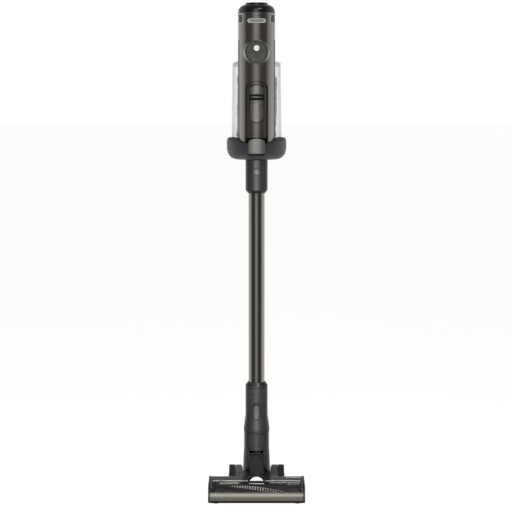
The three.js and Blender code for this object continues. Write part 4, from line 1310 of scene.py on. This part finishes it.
def pleats(outer, inner, low, high, count):
    """A ring of folded filter paper."""
    outline, inside = [], []
    steps = count * 4
    for i in range(steps):
        a = 2 * math.pi * i / steps
        wave = abs(math.sin(a * count / 2))
        r = outer - 2.2 * (1 - wave)
        outline.append((r * math.sin(a), -r * math.cos(a)))
        r = inner + 2.2 * wave
        inside.append((r * math.sin(a), -r * math.cos(a)))
    return cut(prism("z", outline, (low, high)), prism("z", inside, (low - 1, high + 1)))


piece("exhaust_pleats", pleats(37.3, 20.3, 1110.6, 1136.4, 60), PAPER, "exhaust_filter", bevel=0, shade=25)
rims = [
    lathe([(20, z), (37.5, z), (37.5, z + 1.6), (20, z + 1.6)], steps=FINE) for z in (1109, 1136.4)
]
piece("exhaust_rims", bundle(rims), MATTE, body="filter_cap", bevel=0.3, slot="matte_black")
foam = rounded([(0, 1039), (30, 1039), (30, 1048), (0, 1048)], [0, 1.2, 1.2, 0], 4, (0, 3))
piece("pre_motor_foam", lathe(foam), FLEECE, "pre_motor_filter", bevel=0)

cap_profile = rounded(
    [(0, 1145), (38.5, 1145), (38.5, 1140.3), (43, 1140.3), (42, 1147.5), (38, 1154), (31.5, 1158),
     (26.2, 1158.6), (25.8, 1163), (0, 1163)],
    [0, 0.4, 0.4, 0.5, 9, 9, 5, 0.8, 1.0, 0], 7, (0, 9),
)
cap = lathe(cap_profile, steps=192)
top_ring = cut(rod("z", 23.6, (1162.5, 1164), AXIS), rod("z", 23.0, (1160, 1170), AXIS))
cap = cut(cap, top_ring)
piece("cap_shell", cap, GLOSS, "filter_cap", bevel=0.25)


# ---------------------------------------------------------------- handle
def handle_outline():
    return clean(
        [(20, 1048), (112, 1044)]
        + quad((112, 1044), (136, 1046), (141, 1066), 16)
        + quad((141, 1066), (153, 1098), (141, 1130), 24)
        + quad((141, 1130), (136, 1150), (114, 1152), 16)
        + [(20, 1137)]
    )


def grip_outline():
    return clean(
        [(52, 1066), (104, 1063)]
        + quad((104, 1063), (112, 1064), (114, 1074), 12)
        + quad((114, 1074), (120, 1098), (114, 1122), 20)
        + quad((114, 1122), (111, 1131), (102, 1130), 12)
        + [(52, 1121)]
    )


def pushed(outline, by):
    """An outline moved outward along its corner normals."""
    n = len(outline)
    area = sum(outline[i - 1][0] * outline[i][1] - outline[i][0] * outline[i - 1][1] for i in range(n))
    out = []
    for i, (u, v) in enumerate(outline):
        (a, b), (c, d) = outline[i - 1], outline[(i + 1) % n]
        e1, e2 = Vector((u - a, v - b)).normalized(), Vector((c - u, d - v)).normalized()
        normal = (Vector((e1.y, -e1.x)) + Vector((e2.y, -e2.x))).normalized()
        lean = max(0.5, normal.dot(Vector((e1.y, -e1.x))))
        step = by / lean * (1 if area > 0 else -1)
        out.append((u + normal.x * step, v + normal.y * step))
    return out


def loft(rings):
    """A closed shape along x, through rings of (x, outline)."""
    n = len(rings[0][1])
    points = [(x, u, v) for x, outline in rings for u, v in outline]
    last = (len(rings) - 1) * n
    return mesh_from(points, band(len(rings) - 1, n) + [tuple(range(n)), tuple(range(last, last + n))])


def handle_loop(half, fillet=5.0):
    quarter_turn = [math.radians(90 * k / 8) for k in range(9)]
    outer, inner = [], [(-half - 5, pushed(grip_outline(), fillet))]
    for a in quarter_turn:
        x = -half + fillet * (1 - math.cos(a))
        outer.append((x, pushed(handle_outline(), -fillet * (1 - math.sin(a)))))
        inner.append((x, pushed(grip_outline(), fillet * (1 - math.sin(a)))))
    outer += [(-x, ring) for x, ring in reversed(outer)]
    inner += [(-x, ring) for x, ring in reversed(inner)]
    loop = cut(loft(outer), loft(inner))
    return cut(loop, rod("z", R + GAP, TALL, AXIS))


frame_loop = cut(handle_loop(15), block(WIDE, (132, FAR), (1064, 1134)))
piece("handle_loop", frame_loop, DARK, "handle_frame", bevel=0, shade=35)
grip = common(handle_loop(14.5), block(WIDE, (132.3, FAR), (1064.3, 1133.7)))
ribs = [block((-20, 20), (145.2, 160), (1075 + 6 * k, 1076.4 + 6 * k)) for k in range(8)]
piece("grip_pad", cut(grip, *ribs), GRIP, "grip_insert", bevel=0.3, angle=40, segments=2, shade=50)

# ---------------------------------------------------------------- battery
outer = prism("y", arch_shape(25.6, 854.6, 983.6, 16, 2), (-60, 7.2))
outer = common(outer, rod("z", 38.5, TALL, AXIS, 160))
room = common(prism("y", arch_shape(23.2, 858.7, 981, 14), (-60, 60)), rod("z", 31.8, TALL, AXIS))
pocket = join(
    prism("y", cup_shape(17.6, 887.7, 954), (-60, -10)),
    prism("y", arch_shape(17.6, 953, 976.2, 6), (-60, -10)),
)
lining = common(pocket, tube("z", 34.5, 34.05, (880, 980), AXIS, 160))
pocket = cut(pocket, rod("z", 34, TALL, AXIS))
case = cut(outer, room, pocket)
case = cut(case, cut(tube("z", 40, 38.1, (861.5, 862.1), AXIS, 160), behind(-10)))
piece("battery_shell", case, GUNMETAL, "battery_case", bevel=0.5, segments=2)
piece("pocket_lining", lining, BUMPER, body="battery", bevel=0, slot="gloss_black")
bridge = block((-14.5, 14.5), (-60, -20), (946.6, 949.0))
bridge = common(bridge, tube("z", 37.4, 34.6, (940, 960), AXIS, 160))
piece("pocket_bridge", bridge, SILVER, body="battery", bevel=0.3, slot="silver")

cells = []
for foot, head in ((860.5, 915.3), (916.7, 971.5)):
    for x, y in ((-9.6, -19), (9.6, -19), (0, -2.6)):
        profile = rounded([(0, foot), (9.1, foot), (9.1, head), (0, head)], [0, 0.8, 0.8, 0], 3, (0, 3))
        cell = lathe(profile, 0, COARSE)
        cell.transform(Matrix.Translation((x, y, 0)))
        cells.append(cell)
piece("cell_pack", bundle(cells), CELL, "battery_cells", bevel=0)

tab = common(
    prism("y", arch_shape(15.6, 954.3, 974.6, 6, 0.8), (-60, -10)),
    tube("z", 38.9, 36.6, (900, 1000), AXIS, 192),
)
piece("battery_tab", tab, SILVER, "battery_release_button", bevel=0.5, segments=3)

paddle = common(
    prism("y", cup_shape(15.6, 889.6, 940.2, None, 0.8), (-60, -10)),
    tube("z", 38.5, 34.3, (880, 960), AXIS, 192),
)
paddle = cut(paddle, tube("z", 40, 38.0, (935.4, 936.2), AXIS, 192))
piece("battery_paddle", paddle, SILVER, "battery_pull_lever", bevel=0.6, segments=3)

# The booleans' two scratch objects are no longer needed.
for o in scratch:
    bpy.data.objects.remove(o)


# ---------------------------------------------------------------- studio
SOFTBOX_TURN = math.radians(3)


def studio():
    floor_mesh = mesh_from([(-60, -60, 0), (60, -60, 0), (60, 60, 0), (-60, 60, 0)], [(0, 1, 2, 3)])
    floor = bpy.data.objects.new("studio_floor", floor_mesh)
    bpy.context.scene.collection.objects.link(floor)
    p = Paint("studio_floor_paint")
    p.colour(p.colours(p.noise(0.6, 2), [(0.3, grey(0.36)), (0.7, grey(0.38))]))
    p.set(Roughness=0.9, Specular_IOR_Level=0.1, Emission_Strength=0.86)
    p.shader.inputs["Emission Color"].default_value = (1, 1, 1, 1)
    swap = p.node("MixShader")
    p.link(p.node("LightPath").outputs["Is Glossy Ray"], swap.inputs["Fac"])
    p.link(p.shader.outputs[0], swap.inputs[1])
    p.link(p.node("BsdfTransparent").outputs[0], swap.inputs[2])
    p.link(swap.outputs[0], p.tree.nodes["Material Output"].inputs["Surface"])
    floor.data.materials.append(p.mat)
    floor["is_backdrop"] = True

    world = bpy.data.worlds.new("studio")
    bpy.context.scene.world = world
    world.use_nodes = True
    world.node_tree.nodes.clear()
    w = Nodes(world.node_tree)
    split = w.node("SeparateXYZ")
    w.link(w.coords.outputs["Generated"], split.inputs[0])

    def graded(stops):
        """Slightly warm brightness levels round the room."""
        return w.colours(azimuth, [(at, (v, v * 0.985, v * 0.965)) for at, v in stops], "EASE")

    def rising(below, start, end, above):
        return w.mixed(w.spread(split.outputs["Z"], 0.0, 1.0, start, end, "SMOOTHSTEP"), below, above)

    # How far round a direction points, from the front (0) to the back (1), and how high.
    front = w.calc("MULTIPLY", split.outputs["Y"], -1.0)
    turned = w.calc("ADD", w.calc("ARCTAN2", split.outputs["X"], front), SOFTBOX_TURN)
    azimuth = w.calc("DIVIDE", w.calc("ABSOLUTE", turned), math.pi)
    ground = graded([(0.0, 0.26), (0.17, 0.035), (0.34, 0.04), (0.50, 0.6), (1.0, 0.8)])
    level = graded([(0.0, 0.62), (0.035, 0.55), (0.17, 0.035), (0.34, 0.04), (0.50, 0.72), (0.60, 1.0),
                    (1.0, 0.95)])
    panel = graded([(0.0, 1.5), (0.05, 1.4), (0.10, 0.12), (0.34, 0.05), (0.50, 0.45), (0.60, 0.55),
                    (1.0, 0.5)])
    roof = graded([(0.0, 0.16), (0.3, 0.10), (1.0, 0.22)])
    low = rising(ground, -0.31, -0.22, level)
    dome = rising(rising(low, 0.09, 0.17, panel), 0.52, 0.72, roof)
    lit = w.node("Background")
    w.link(dome, lit.inputs["Color"])
    plain = w.node("Background")
    plain.inputs["Color"].default_value = (1, 1, 1, 1)
    swap = w.node("MixShader")
    w.link(w.node("LightPath").outputs["Is Camera Ray"], swap.inputs["Fac"])
    w.link(lit.outputs[0], swap.inputs[1])
    w.link(plain.outputs[0], swap.inputs[2])
    w.link(swap.outputs[0], w.node("OutputWorld").inputs["Surface"])

    for name, place, aim, size, power in (
        ("key", (0.7, -1.5, 3.0), (0, 0, 0.9), (0.9, 0.6), 9),
        ("fill", (-1.6, -2.0, 1.6), (0, 0, 0.5), (0.5, 1.6), 2.2),
        ("head_glow", (-0.1, -0.75, 0.6), (0, -0.09, 0.03), (0.4, 0.2), 6),
    ):
        light = bpy.data.lights.new(name, "AREA")
        light.shape = "RECTANGLE"
        light.size, light.size_y = size
        light.energy = power
        o = bpy.data.objects.new(name, light)
        o.location = place
        o.visible_camera = False
        o.visible_glossy = name == "key"
        o.rotation_euler = (Vector(aim) - Vector(place)).to_track_quat("-Z", "Y").to_euler()
        bpy.context.scene.collection.objects.link(o)

    data = bpy.data.cameras.new("camera")
    data.lens = 89.4
    data.sensor_width = 36
    data.clip_end = 100
    camera = bpy.data.objects.new("camera", data)
    axis_y = AXIS_Y / 1000
    place = Vector((-0.0014, axis_y - 2.979, 0.931))
    aim = Vector((-0.0014, axis_y, 0.576))
    camera.location = place
    camera.rotation_euler = (aim - place).to_track_quat("-Z", "Y").to_euler()
    bpy.context.scene.collection.objects.link(camera)
    bpy.context.scene.camera = camera
    bpy.context.scene.view_settings.view_transform = "Standard"
    bpy.context.scene.view_settings.look = "None"


studio()

low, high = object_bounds()
